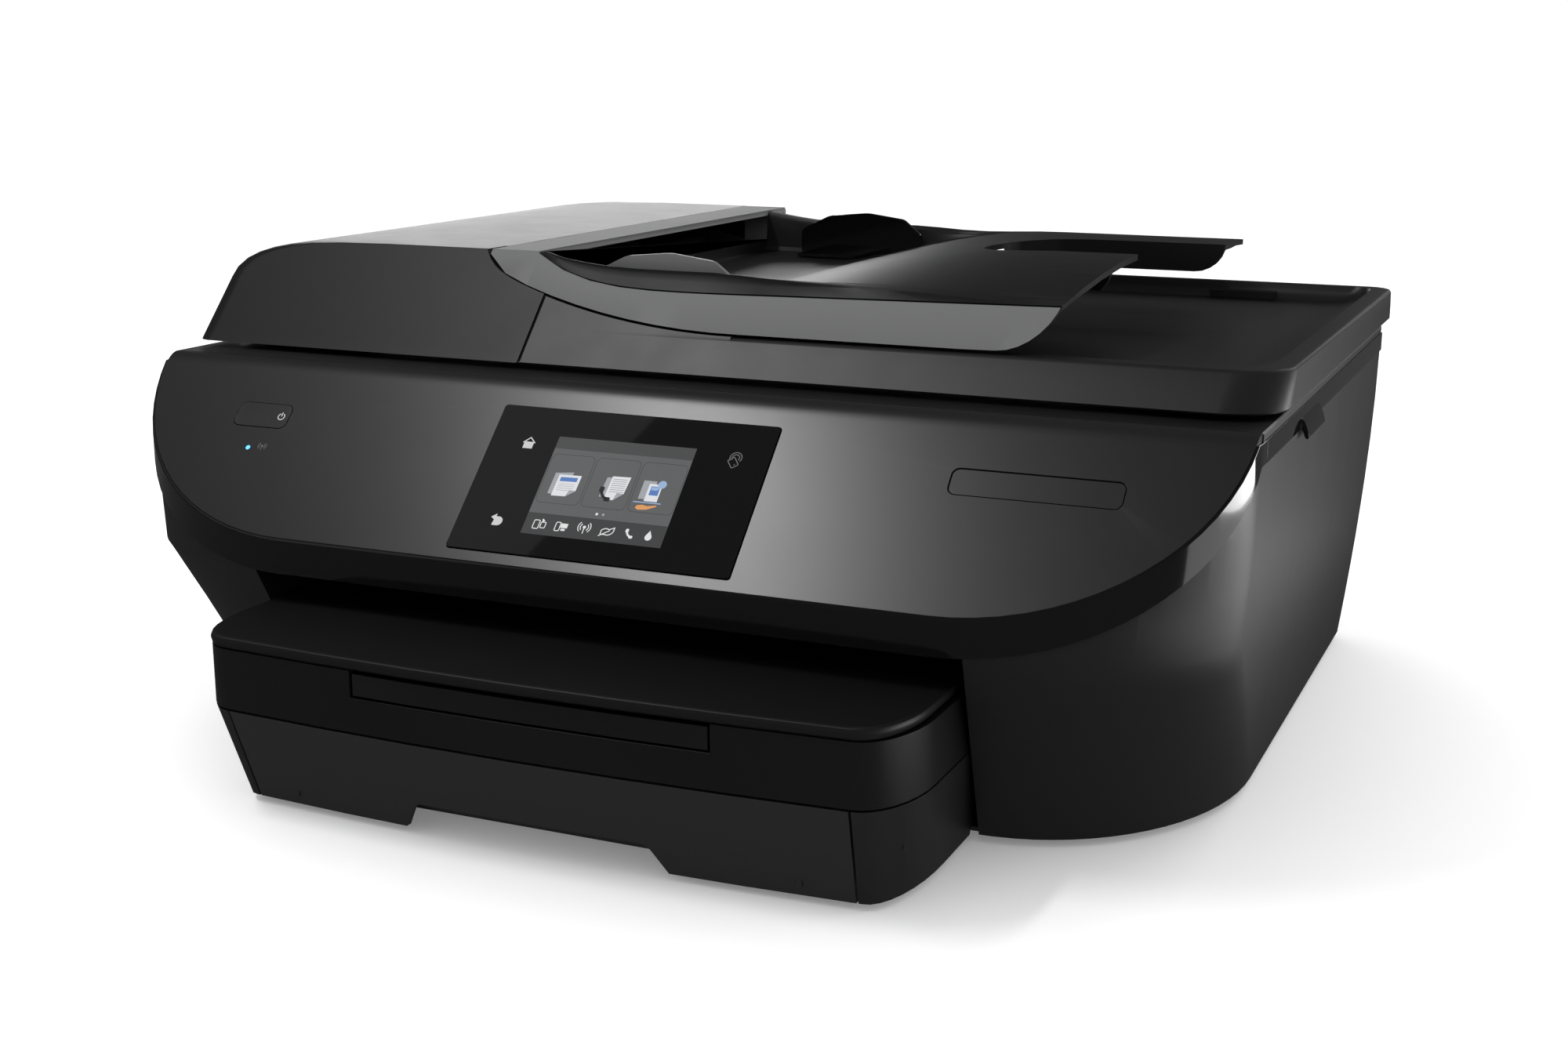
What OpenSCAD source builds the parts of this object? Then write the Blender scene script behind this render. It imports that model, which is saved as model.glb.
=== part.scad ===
// All-in-one inkjet printer: paper trays at the front, a swinging scanner unit with a tilted
// control panel, and a flatbed lid that carries a sheet feeder.
// Millimetres. +X is the right side, +Y the back, +Z up. The origin is the middle of the
// footprint, on the table.

/* [Lower housing] */
// Width across the gloss band at the widest place
band_w = 450; // [446:1:452]
// Distance from the middle of the footprint to the back wall
back_y = 203; // [201:0.5:204]
// Height of the rubber feet under the housing
foot_h = 3.5; // [3:0.1:4]
// Wall thickness of the moulded shells
wall = 2.6; // [2.2:0.1:2.8]
// Half width of the paper opening at its top
mouth_half = 142; // [141.5:0.1:142.5]

/* [Control panel] */
// How far the lower edge of the panel stands in front of the origin
panel_front = 156.5; // [156:0.1:157]
// Height of the lower edge of the panel
panel_low_z = 92.3; // [92:0.1:92.8]
// Height of the gloss band under the panel
band_h = 13; // [12.5:0.1:13.5]
// Width of the touch glass
glass_w = 114; // [110:1:116]
// Height of the touch glass along the slope
glass_h = 63.6; // [60:0.2:64]

/* [Trays] */
// How far the output tray stands in front of the origin
tray_front = 206; // [206:0.1:206.8]
// Height of the top of the output tray
plate_top_z = 68; // [67.6:0.1:68.4]
// Thickness of the output tray
plate_t = 4.5; // [4:0.1:4.9]
// Inside width of the main tray
paper_w = 220; // [218:0.5:221]

/* [Lid and feeder] */
// Height of the lower edge of the lid
lid_z = 152.5; // [152.3:0.1:152.7]
// Height of the top of the feeder
feeder_top_z = 193; // [192.5:0.1:193.2]
// Clear width of the feeder between its rims
feeder_w = 224; // [222:0.5:225]

/* [Motion] */
// Teeth on the paper feed gears
feed_teeth = 20; // [20:1:20]
// Grooves on the belt pulleys
pulley_teeth = 16; // [14:1:18]

/* [Hidden] */

// ---- Derived levels and lines ----
panel_c = panel_low_z + panel_front;        // the panel plane is z = y + panel_c
band_c = panel_c - band_h;                  // the underside of the gloss band is z = y + band_c
side_x = band_w / 2;
body_low_z = foot_h;
body_top_z = 138.8;
trim_low_z = 139.4;
trim_top_z = 147.4;
shelf_z = 150.5;
glass_top_z = 150.3;
seam_y = -89;                               // where the front band meets the side trims
pan_z = 122;                                // underside of the scanner pan
plate_low_z = plate_top_z - plate_t;
lid_rim_z = 166.4;
slope = 0.9175;                             // lid and feeder front: y rises by this per mm of z
lid_front = -80;
door_y = 196;                               // hinge line of the scanner unit
door_z = 142;
lid_y = 200;                                // hinge line of the lid
lid_hinge_z = 157;
cover_x = -224;                             // hinge line of the feeder cover
cover_z = 162;
well_lo = -42;                              // front and back walls of the paper well
well_hi = well_lo + feeder_w;
eps = 0.01;

function slope_y(z) = lid_front + slope * (z - lid_z);
function smooth(t) = let (u = min(1, max(0, t))) u * u * (3 - 2 * u);
function mix(a, b, t) = a + (b - a) * t;

// ---- Shape helpers ----
function arc(cx, cy, a, b, t0, t1, n) =
    [for (i = [0:n]) let (t = t0 + (t1 - t0) * i / n) [cx + a * cos(t), cy + b * sin(t)]];

function unit(v) = v / norm(v);

// The arc of radius r that rounds the corner p between its neighbours a and b
function corner(a, p, b, r, n) =
    let (
        u = unit(a - p),
        v = unit(b - p),
        half = acos(u * v) / 2,
        c = p + unit(u + v) * (r / sin(half)),
        s = p + u * (r / tan(half)) - c,
        e = p + v * (r / tan(half)) - c,
        t0 = atan2(s.y, s.x),
        sweep = ((atan2(e.y, e.x) - t0 + 540) % 360) - 180
    )
    arc(c.x, c.y, r, r, t0, t0 + sweep, n);

// A polygon with each corner rounded by its own radius, or by one radius for all
function rounded(pts, r, n = 5) =
    let (m = len(pts))
    [for (i = [0:m - 1])
        let (ri = is_list(r) ? r[i] : r)
        each (ri <= 0 ? [pts[i]] : corner(pts[(i + m - 1) % m], pts[i], pts[(i + 1) % m], ri, n))];

function box_pts(x0, y0, x1, y1) = [[x0, y0], [x1, y0], [x1, y1], [x0, y1]];
function mirrored(half) = concat(half, [for (i = [len(half) - 1:-1:0]) [-half[i].x, half[i].y]]);
function lift(pts, z) = [for (p = pts) [p.x, p.y, z]];
function stand(x, pts) = [for (p = pts) [x, p.x, p.y]];

// A solid through closed rings that have the same number of points, counter-clockwise from the last
module loft(rings) {
    n = len(rings[0]);
    m = len(rings);
    sides = [for (j = [0:m - 2], i = [0:n - 1])
        let (a = j * n + i, b = j * n + (i + 1) % n, c = a + n, d = b + n)
        each [[a, d, b], [a, c, d]]];
    low = [for (i = [0:n - 1]) i];
    high = [for (i = [n - 1:-1:0]) (m - 1) * n + i];
    polyhedron([for (r = rings) each r], concat(sides, [low, high]));
}

module block(a, b) {
    translate(a)
        cube(b - a);
}

// Prism of a (y, z) outline between two x values
module along_x(pts, x0, x1) {
    translate([x0, 0, 0])
        rotate([90, 0, 90])
            linear_extrude(x1 - x0)
                polygon(pts);
}

// Prism of an (x, z) outline between two y values
module along_y(pts, y0, y1) {
    translate([0, y1, 0])
        rotate([90, 0, 0])
            linear_extrude(y1 - y0)
                polygon(pts);
}

module along_z(pts, z0, z1) {
    translate([0, 0, z0])
        linear_extrude(z1 - z0)
            polygon(pts);
}

module rod_x(x0, x1, y, z, r) {
    translate([x0, y, z])
        rotate([0, 90, 0])
            cylinder(h = x1 - x0, r = r, $fn = 48);
}

module rod_y(y0, y1, x, z, r) {
    translate([x, y1, z])
        rotate([90, 0, 0])
            cylinder(h = y1 - y0, r = r, $fn = 48);
}

module rod_z(z0, z1, x, y, r) {
    translate([x, y, z0])
        cylinder(h = z1 - z0, r = r, $fn = 48);
}

module both_sides() {
    children();
    mirror([1, 0, 0])
        children();
}

// ---- Plan outlines ----
corner_x = 130;                             // where the front edge starts to turn
corner_y = -95.5;
corner_n = 18;

// Plan of the gloss band, drawn in by d
function band_plan(d) = mirrored(concat(
    arc(corner_x, corner_y, side_x - corner_x - d, corner_y + panel_front - d, -90, 0, corner_n),
    arc(side_x - 12, back_y - 12, 12 - d, 12 - d, 0, 90, 4)));

// Plan of the lower housing at height z: the sides lean in and the front leans back to the foot
function lean(z) = (79 - min(79, max(z, body_low_z))) / (79 - body_low_z);
function housing_side(z) =
    side_x - 0.7 - 10.2 * pow((body_top_z - min(body_top_z, max(z, body_low_z))) / 135, 1.7);
function housing_front(z) = -panel_front + 1.6 + 37.9 * lean(z);
function housing_plan(z, d) =
    let (cx = corner_x + 6 * lean(z), cy = corner_y + 73.5 * lean(z), s = housing_side(z))
    mirrored(concat(
        arc(cx, cy, s - cx - d, cy - housing_front(z) - d, -90, 0, corner_n),
        arc(s - 12, back_y - 12, 12 - d, 12 - d, 0, 90, 4)));

module housing_solid(d, z0, z1) {
    levels = [z0, 12, 24, 38, 52, 66, 79, 98, 118, z1];
    loft([for (z = levels) lift(housing_plan(z, d), z)]);
}

// Plan of the tray fronts at height z: bowed at the front, with elliptical corners
function tray_lean(z) = (40 - min(40, z)) / 37;
function tray_plan(front, half_w, b, d, back) =
    let (cx = 121, cy = front + 4.5 + b)
    mirrored(concat(
        [for (x = [0, 40, 80]) [x + eps, front + d + 4.5 * pow(x / cx, 2)]],
        arc(cx, cy, half_w - cx - d, b - d, -90, 0, 8),
        [[half_w - d, back]]));
function bay_plan(z, d, back) =
    let (t = tray_lean(z))
    tray_plan(-204.9 + 13.1 * t, 138.5 - 4.5 * t, 32 + 10 * t, d, back);

module bay_solid(d, z0, z1, back) {
    loft([for (z = [z0, z1]) lift(bay_plan(z, d, back), z)]);
}

// ================= Lower housing =================
mouth_low = mouth_half - 5;
mouth_pts = [[-mouth_low, 0], [mouth_low, 0], [mouth_half, 79], [mouth_half, 150],
             [-mouth_half, 150], [-mouth_half, 79]];
cheek_pts = [[mouth_low, 5.5], [mouth_half, 79], [mouth_half, 112], [mouth_half + 2.2, 112],
             [mouth_half + 2.2, 79], [mouth_low + 2.2, 5.5]];
rear_window = box_pts(-118, 34, 118, 112);
inlet_x = -178;
ports_x = 168;

module lower_housing() {
    color("#1b1b1c")
    difference() {
        union() {
            difference() {
                housing_solid(0, body_low_z, body_top_z);
                housing_solid(wall, body_low_z - 1, body_top_z + 1);
            }
            // Inner walls that close the two cheeks beside the paper opening
            intersection() {
                housing_solid(wall - 0.5, body_low_z, body_top_z);
                both_sides()
                    along_y(cheek_pts, -160, -78);
                along_x([[-200, 0], [-60, 0], [-60, 116.9], [116.9 - band_c + 7.2, 116.9], [-200, -200 + band_c - 7.2]], -240, 240);
            }
        }
        // Everything above the line under the gloss band
        along_x([[-200, -200 + band_c - 0.8], [-60, -60 + band_c - 0.8], [-60, 220], [-200, 220]], -260, 260);
        // Paper opening
        along_y(mouth_pts, -220, -100);
        // Rear cover window, mains inlet and ports
        along_y(rounded(rear_window, 5), back_y - 8, back_y + 5);
        block([inlet_x - 13.5, back_y - 8, 17.7], [inlet_x + 13.5, back_y + 5, 38.3]);
        block([ports_x - 28, back_y - 8, 17.5], [ports_x + 24, back_y + 5, 36.5]);
    }
}

module base_pan() {
    color("#202021")
    difference() {
        union() {
            intersection() {
                loft([for (z = [body_low_z, 9]) lift(housing_plan(z, wall + 0.3), z)]);
                block([-230, -130, body_low_z], [230, back_y, body_low_z + 2]);
            }
            // Upright rim just inside the housing
            difference() {
                loft([for (z = [body_low_z + 1, 14]) lift(housing_plan(z, wall + 0.3), z)]);
                loft([for (z = [body_low_z, 15]) lift(housing_plan(z, wall + 2.3), z)]);
                block([-mouth_low - 3, -140, 0], [mouth_low + 3, -60, 30]);
            }
            // Stiffening ribs and the stop at the back of the tray bay
            for (x = [-180, -150, 150, 180])
                block([x - 1, x > 0 ? 46 : -20, body_low_z + 1], [x + 1, 180, 16]);
            for (x = [-90, -30, 30, 90])
                block([x - 1, 134, body_low_z + 1], [x + 1, 190, 30]);
            block([-119, 132, body_low_z + 1], [119, 134, 36]);
        }
        // Seats for the rubber feet
        for (x = [-170, 170], y = [-60, 172])
            rod_z(0, 4.2, x, y, 9.2);
    }
}

// One foot: a domed rubber pad whose stem is pushed into the pan
module foot(x, y) {
    translate([x, y, 0])
        rotate_extrude($fn = 48)
            polygon([[0, 0], [7.6, 0], [8.6, 0.6], [9, 1.6], [9, 4.2], [0, 4.2]]);
}

module rubber_feet() {
    color("#101010")
        for (x = [-170, 170], y = [-60, 172])
            foot(x, y);
}

// Side of the tray bay: a rounded corner piece at the front, a rail and a ledge behind it
module tray_bay(side) {
    color("#1a1a1b")
    mirror([side < 0 ? 1 : 0, 0, 0])
    union() {
        intersection() {
            difference() {
                bay_solid(0, 3, 39.7, -112);
                bay_solid(wall, 2, 41, -110);
                block([100, -117, 0], [160, -100, 5.7]);
            }
            along_y([[119.6, 2], [121.6, 40], [150, 40], [150, 2]], -215, -100);
        }
        block([121.6, -182, 8], [123.8, -112, 38]);
        block([121.6, -182, 22], [133, -178, 30]);
        block([121.6, -114, 8], [134, -112, 39.6]);
        // Rail on the pan, and the ledge that the photo tray slides on
        block([121.6, -112, 5.5], [123.8, 128, 40.2]);
        block([107, -112, 38.2], [121.7, 24, 40.2]);
        block([123.7, -112, 38.2], [134, 24, 40.2]);
        for (y = [-110, -50, 20])
            block([123.7, y, 5.5], [134, y + 2, 38.3]);
    }
}

module tray_bay_left() {
    tray_bay(-1);
}

module tray_bay_right() {
    tray_bay(1);
}

ext_x0 = -64;                               // sides of the extender
ext_x1 = 73;
ext_top = 62;
ext_low = 54;
plate_back = -64;

module output_tray() {
    color("#151515")
    difference() {
        union() {
            // Plate with a softened front edge
            loft([
                lift(tray_plan(-tray_front + 1.2, 136, 29, 0, plate_back), plate_low_z),
                lift(tray_plan(-tray_front + 0.3, 136.9, 30, 0, plate_back), plate_low_z + 0.8),
                lift(tray_plan(-tray_front, 137.2, 30, 0, plate_back), plate_low_z + 2),
                lift(tray_plan(-tray_front, 137.2, 30, 0, plate_back), plate_top_z - 1.6),
                lift(tray_plan(-tray_front + 0.4, 136.8, 30, 0, plate_back), plate_top_z - 0.6),
                lift(tray_plan(-tray_front + 1.4, 135.8, 29, 0, plate_back), plate_top_z),
            ]);
            // Tabs into the cheek walls
            both_sides()
                block([130, -102, plate_low_z], [140.9, -88, plate_low_z + 3]);
            // Channel under the plate that carries the extender
            along_y([
                [ext_x0 - 2.4, plate_low_z + eps], [ext_x0 - 2.4, 52.7], [ext_x0 + 5, 52.7],
                [ext_x0 + 5, 53.6], [ext_x0 - 0.4, 53.6], [ext_x0 - 0.4, plate_low_z + eps],
            ], -186, plate_back);
            along_y([
                [ext_x1 + 2.4, plate_low_z + eps], [ext_x1 + 2.4, 52.7], [ext_x1 - 5, 52.7],
                [ext_x1 - 5, 53.6], [ext_x1 + 0.4, 53.6], [ext_x1 + 0.4, plate_low_z + eps],
            ], -186, plate_back);
        }
        // Finger dip in the middle of the back edge
        rod_z(60, 70, 4.5, plate_back + 4, 24);
    }
}

module rear_cover() {
    w = rear_window;
    color("#1b1b1c")
    difference() {
        union() {
            along_y(rounded(box_pts(-117.6, 34.4, 117.6, 111.6), 5), back_y - wall, back_y);
            block([-112, back_y - 8, 40], [112, back_y - wall + eps, 42.5]);
            block([-112, back_y - 8, 104], [112, back_y - wall + eps, 106.5]);
        }
        // Grip hollow and vent slots
        along_y(rounded(box_pts(-32, 92, 32, 101), 4), back_y - 1.2, back_y + 1);
        for (i = [0:12])
            along_y(rounded(box_pts(-91 + 14 * i, 52, -81 + 14 * i, 55), 1.4), back_y - 12, back_y + 1);
        for (i = [0:12])
            along_y(rounded(box_pts(-91 + 14 * i, 60, -81 + 14 * i, 63), 1.4), back_y - 12, back_y + 1);
    }
}

// Two-pin mains inlet with a figure-eight socket
module power_inlet() {
    color("#0d0d0d")
    union() {
        difference() {
            union() {
                block([inlet_x - 13.3, back_y - 24, 18], [inlet_x + 13.3, back_y - 0.6, 38]);
                block([inlet_x - 16, back_y - 6, 15], [inlet_x + 16, back_y - wall - 0.1, 41]);
            }
            for (s = [-1, 1])
                rod_y(back_y - 16, back_y + 1, inlet_x + 4 * s, 28, 4.2);
            block([inlet_x - 4, back_y - 16, 24.6], [inlet_x + 4, back_y + 1, 31.4]);
        }
        for (s = [-1, 1])
            rod_y(back_y - 17, back_y - 4, inlet_x + 4.3 * s, 28, 1.2);
    }
}

// Square printer socket, network socket and two small telephone sockets on one block
module rear_ports() {
    color("#6d6f72")
    difference() {
        union() {
            block([ports_x - 27.8, back_y - 20, 17.8], [ports_x + 23.8, back_y - 0.8, 36.2]);
            block([ports_x - 31, back_y - 6, 14.5], [ports_x + 27, back_y - wall - 0.1, 39.5]);
        }
        block([ports_x - 25, back_y - 14, 20.5], [ports_x - 16.6, back_y + 1, 28.3]);
        block([ports_x - 13.5, back_y - 14, 20], [ports_x - 1.5, back_y + 1, 31]);
        for (i = [0, 1])
            block([ports_x + 1.5 + 11 * i, back_y - 14, 20], [ports_x + 10 + 11 * i, back_y + 1, 27.5]);
    }
}

module main_board() {
    color("#1f4a2c")
    union() {
        block([138, 66, 20], [204, 182, 21.6]);
        for (x = [143, 199], y = [72, 174])
            rod_z(5.5, 20 + eps, x, y, 3);
        block([150, 90, 21.5], [176, 116, 24]);
        block([184, 84, 21.5], [196, 130, 34]);
        for (y = [140, 156])
            rod_z(21.5, 33, 146, y, 5);
    }
}

// ================= Print mechanism =================
rod_cy = 20;                                // carriage rod
rod_cz = 96;
feed_y = 34;                                // feed roller
roll_z = 72;
gear_m = 2;                                 // gear module
idler_teeth = 23;
gear_x0 = -163;                             // the gears turn outside the carriage's travel
gear_x1 = -156;
gear_gap = gear_m * (feed_teeth + idler_teeth) / 2;
idler_y = feed_y - gear_gap;
exit_y = idler_y - gear_gap;
pinion_teeth = 10;
pinion_turn = 54;                           // where the pinion sits round the feed gear, from straight down
pinion_gap = gear_m * (feed_teeth + pinion_teeth) / 2;
pinion_y = feed_y + pinion_gap * sin(pinion_turn);
pinion_z = roll_z - pinion_gap * cos(pinion_turn);
belt_y = 57;
belt_z = 104;
pulley_r = 6;
pulley_x = 190;
cap_x = [147, 171];                          // the two capping cups, under the parked cartridges

// Trapezoid-toothed gear blank outline with a little backlash
function gear_pts(teeth) =
    let (rp = gear_m * teeth / 2, ra = rp + 0.9 * gear_m, rf = rp - 1.2 * gear_m, step = 360 / teeth)
    [for (i = [0:teeth - 1], c = [[-0.3, rf], [-0.1, ra], [0.1, ra], [0.3, rf]])
        let (t = (i + c[0]) * step) [c[1] * cos(t), c[1] * sin(t)]];

module gear_x(teeth, x0, x1, y, z, turn) {
    translate([x0, y, z])
        rotate([0, 90, 0])
            rotate([0, 0, turn])
                linear_extrude(x1 - x0)
                    polygon(gear_pts(teeth));
}

// Deck over the mechanism: flat under the scanner, sloped behind the control panel
module mechanism_deck() {
    deck_z = 117;
    slope_lo = -144;
    color("#1d1d1e")
    difference() {
        intersection() {
            along_x([
                [slope_lo, slope_lo + band_c - 7],
                [deck_z - band_c + 7, deck_z], [back_y - 4, deck_z],
                [back_y - 4, deck_z + 2.4], [deck_z - band_c + 5, deck_z + 2.4],
                [slope_lo, slope_lo + band_c - 3.6],
            ], -230, 230);
            housing_solid(wall + 0.2, body_low_z, body_top_z);
        }
        along_z(rounded(box_pts(-198, -48, 198, 70), 8), 100, 130);
    }
}

// Folded sheet-steel beam that guides the back of the carriage, with a leg at each end
module carriage_rail() {
    color("#9a9da0")
    difference() {
        union() {
            along_x([[64, 76], [66, 76], [66, 116.9], [50, 116.9], [50, 112], [51.6, 112],
                     [51.6, 115.2], [64, 115.2]], -204, 204);
            for (s = [-1, 1]) {
                block([s > 0 ? 203 : -205, 2, 76], [s > 0 ? 205 : -203, 66, 116.9]);
                block([s > 0 ? 203 : -205, 50, body_low_z + 2], [s > 0 ? 205 : -203, 66, 76.1]);
            }
        }
        for (x = [-150, -75, 0, 75, 150])
            rod_y(60, 70, x, 88, 4);
        rod_y(60, 70, pulley_x, belt_z, 3);
        for (s = [-1, 1])
            rod_x(s > 0 ? 200 : -208, s > 0 ? 208 : -200, rod_cy, rod_cz, 4.02);
    }
}

module carriage_rod() {
    color("#c9ccd0")
        rod_x(-206, 206, rod_cy, rod_cz, 4);
}

// Ribbed platen between two side frames that hold the rollers and the idler's stud
module platen() {
    color("#232324")
    difference() {
        union() {
            block([-126, -40, 64.5], [126, 22, 66.6]);
            for (i = [-10:10])
                block([i * 11 - 0.8, -36, 66.5], [i * 11 + 0.8, 18, 76]);
            for (s = [-1, 1])
                block([s > 0 ? 124 : -127, -60, 40.3], [s > 0 ? 127 : -124, 24, 77.5]);
            for (s = [-1, 1])
                block([s > 0 ? 124 : -127, 23.9, 60], [s > 0 ? 127 : -124, 44, 77.5]);
            rod_x(gear_x0 - 1, -126.9, idler_y, roll_z, 3);
        }
        for (y = [feed_y, exit_y])
            rod_x(-130, 160, y, roll_z, 3.05);
    }
}

// Capping and wiping station that the carriage parks over
module service_station() {
    color("#3a3b3d")
    difference() {
        union() {
            block([137, -24, body_low_z + 2], [186, 44, 60]);
            for (x = cap_x)
                block([x - 8, -10, 59.9], [x + 8, 14, 70]);
            block([(cap_x[0] + cap_x[1]) / 2 - 1, -14, 59.9], [(cap_x[0] + cap_x[1]) / 2 + 1, 18, 72]);
        }
        for (x = cap_x)
            block([x - 6, -8, 66], [x + 6, 12, 71]);
        block([141, -20, 4], [182, 40, 40]);
    }
}

// Toothed belt loop in the vertical plane behind the carriage
module carriage_belt() {
    t = 1.2;
    outer = pulley_r + t;
    color("#141414")
    difference() {
        union() {
            block([-pulley_x, belt_y - 3, belt_z - outer], [pulley_x, belt_y + 3, belt_z + outer]);
            for (s = [-1, 1])
                rod_y(belt_y - 3, belt_y + 3, s * pulley_x, belt_z, outer);
        }
        block([-pulley_x, belt_y - 4, belt_z - pulley_r - 0.1], [pulley_x, belt_y + 4, belt_z + pulley_r + 0.1]);
        for (s = [-1, 1])
            rod_y(belt_y - 4, belt_y + 4, s * pulley_x, belt_z, pulley_r + 0.1);
    }
}

module pulley(x) {
    notch = 360 / pulley_teeth;
    color("#b9b27a")
    difference() {
        union() {
            rod_y(belt_y - 3.2, belt_y + 3.2, x, belt_z, pulley_r);
            rod_y(belt_y - 4.2, belt_y - 3.2, x, belt_z, pulley_r + 1.8);
        }
        for (i = [0:pulley_teeth - 1])
            translate([x, 0, belt_z])
                rotate([0, i * notch, 0])
                    translate([pulley_r - 0.5, belt_y - 3.1, -0.5])
                        cube([2, 7, 1]);
        rod_y(belt_y - 5, belt_y + 5, x, belt_z, 2.05);
    }
}

module motor_pulley() {
    pulley(pulley_x);
}

module idler_pulley() {
    pulley(-pulley_x);
}

module encoder_strip() {
    color("#b7bcc0")
    union() {
        block([-202.9, 46.2, 92.5], [202.9, 46.6, 98.5]);
        for (s = [-1, 1])
            block([s > 0 ? 199 : -202.9, 45, 90.5], [s > 0 ? 202.9 : -199, 47.6, 100.5]);
    }
}

// Carriage motor with its shaft, the belt idler's pin, and the feed motor on its foot
module drive_motors() {
    color("#707276")
    union() {
        rod_y(66, 96, pulley_x, belt_z, 12);
        rod_y(belt_y - 4.5, 66 + eps, pulley_x, belt_z, 2);
        rod_y(belt_y - 4.5, 64, -pulley_x, belt_z, 2);
        rod_x(-198, gear_x0 - 6, pinion_y, pinion_z, 14);
        rod_x(gear_x0 - 6 - eps, gear_x1 + 1, pinion_y, pinion_z, 2);
        block([-198, pinion_y - 8, body_low_z + 2], [-192, pinion_y + 8, pinion_z]);
    }
}

// Grit-coated roller that moves the sheet under the print heads, with its gear
module feed_roller() {
    color("#8f9296")
    union() {
        rod_x(gear_x0 - 2, 130, feed_y, roll_z, 3);
        rod_x(-112, 112, feed_y, roll_z, 5.2);
        gear_x(feed_teeth, gear_x0, gear_x1, feed_y, roll_z, 0);
    }
}

// Odd tooth count: the gap faces the feed gear and a tooth faces the exit gear
module idler_gear() {
    step = 360 / idler_teeth;
    color("#d9d7cc")
    difference() {
        gear_x(idler_teeth, gear_x0, gear_x1, idler_y, roll_z, 90 - 5.5 * step);
        rod_x(gear_x0 - 2, gear_x1 + 1, idler_y, roll_z, 3.05);
    }
}

module exit_roller() {
    color("#2b2b2c")
    union() {
        rod_x(gear_x0 - 2, 130, exit_y, roll_z, 3);
        for (i = [-3:3])
            rod_x(i * 32 - 6, i * 32 + 6, exit_y, roll_z, 6.4);
        gear_x(feed_teeth, gear_x0, gear_x1, exit_y, roll_z, 180 / feed_teeth);
    }
}

module motor_pinion() {
    color("#b9b27a")
    difference() {
        gear_x(pinion_teeth, gear_x0, gear_x1, pinion_y, pinion_z, 0);
        rod_x(gear_x0 - 2, gear_x1 + 2, pinion_y, pinion_z, 2.05);
    }
}

// Uprights on the deck that hold the scanner unit's hinge pins
deck_top = 119.4;
knuckle_x = [150, 186];                     // inner faces of each pair of uprights

module hinge_brackets() {
    color("#8d9094")
    both_sides()
    union() {
        for (x = [knuckle_x[0] - 3, knuckle_x[1]]) {
            block([x, 190.5, deck_top], [x + 3, 199, door_z]);
            rod_x(x, x + 3, door_y - 1, door_z, 4);
        }
        rod_x(knuckle_x[0] - 3, knuckle_x[1] + 3, door_y, door_z, 3);
    }
}

// ================= Trays =================
tray_floor = 7;

module main_tray() {
    half = paper_w / 2;
    color("#1c1c1d")
    difference() {
        union() {
            block([-half - 2.4, -183, tray_floor], [half + 2.4, 120, tray_floor + 2]);
            for (s = [-1, 1])
                block([s > 0 ? half : -half - 2.4, -183, tray_floor], [s > 0 ? half + 2.4 : -half, 120, 34]);
            block([-half - 2.4, 117.6, tray_floor], [half + 2.4, 120, 30]);
            block([-half - 2.4, -183, tray_floor], [half + 2.4, -180.6, 34]);
            // Runners that slide on the rails of the bay
            for (s = [-1, 1])
                block([s > 0 ? half + 2.3 : -120.8, -100, 28], [s > 0 ? 120.8 : -half - 2.3, 118, 30]);
            for (i = [-4:4])
                block([i * 22 - 0.7, -178, tray_floor + 1.9], [i * 22 + 0.7, -100, tray_floor + 2.6]);
        }
        // Slots that the guides slide in
        for (s = [-1, 1])
            block([s > 0 ? 20 : -104, -72, 5], [s > 0 ? 104 : -20, -66, 12]);
        block([-3, -40, 5], [3, 112, 12]);
    }
}

// Front of the main tray, leaning back to its foot, with the pull cut-out in its lower edge
module main_tray_front() {
    pull = concat([[-53, 2]], [[53, 2]],
        corner([53, 2], [46, 14], [0, 14], 5, 6), corner([0, 14], [-46, 14], [-53, 2], 5, 6));
    color("#1a1a1b")
    union() {
        difference() {
            intersection() {
                difference() {
                    bay_solid(0, 3, 39.6, -150);
                    bay_solid(wall, 2, 37, -140);
                }
                along_y([[-118.8, 2], [118.8, 2], [120.8, 41], [-120.8, 41]], -215, -172);
            }
            along_y(pull, -215, -160);
        }
        // Webs back to the tray
        for (x = [-100, -62, 62, 100])
            block([x - 1, -191, tray_floor], [x + 1, -183, 36]);
        block([-112, -198, 36.9], [112, -181, 38.4]);
        for (s = [-1, 1])
            block([s * 80 - 14, -184, 34], [s * 80 + 14, -181, 37]);
    }
}

// Upright fence on a foot that runs in the tray's cross slot
module width_guide(side) {
    color("#232324")
    mirror([side < 0 ? 1 : 0, 0, 0])
    union() {
        along_x(rounded([[-110, tray_floor + 3], [-30, tray_floor + 3], [-30, 33], [-96, 33]], [0, 0, 4, 6]),
                paper_w / 2 - 4, paper_w / 2 - 2);
        block([paper_w / 2 - 34, -84, tray_floor + 3], [paper_w / 2 - 3.9, -54, tray_floor + 4.6]);
        block([paper_w / 2 - 33, -71.6, tray_floor + 0.4], [paper_w / 2 - 18, -66.4, tray_floor + 3.1]);
    }
}

module width_guide_left() {
    width_guide(-1);
}

module width_guide_right() {
    width_guide(1);
}

module length_guide() {
    color("#232324")
    union() {
        block([-30, 108, tray_floor + 3], [30, 110, 30]);
        block([-18, 84, tray_floor + 3], [18, 108.1, tray_floor + 4.6]);
        block([-2.6, 86, tray_floor + 0.4], [2.6, 104, tray_floor + 3.1]);
    }
}

photo_floor = 40.6;

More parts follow.
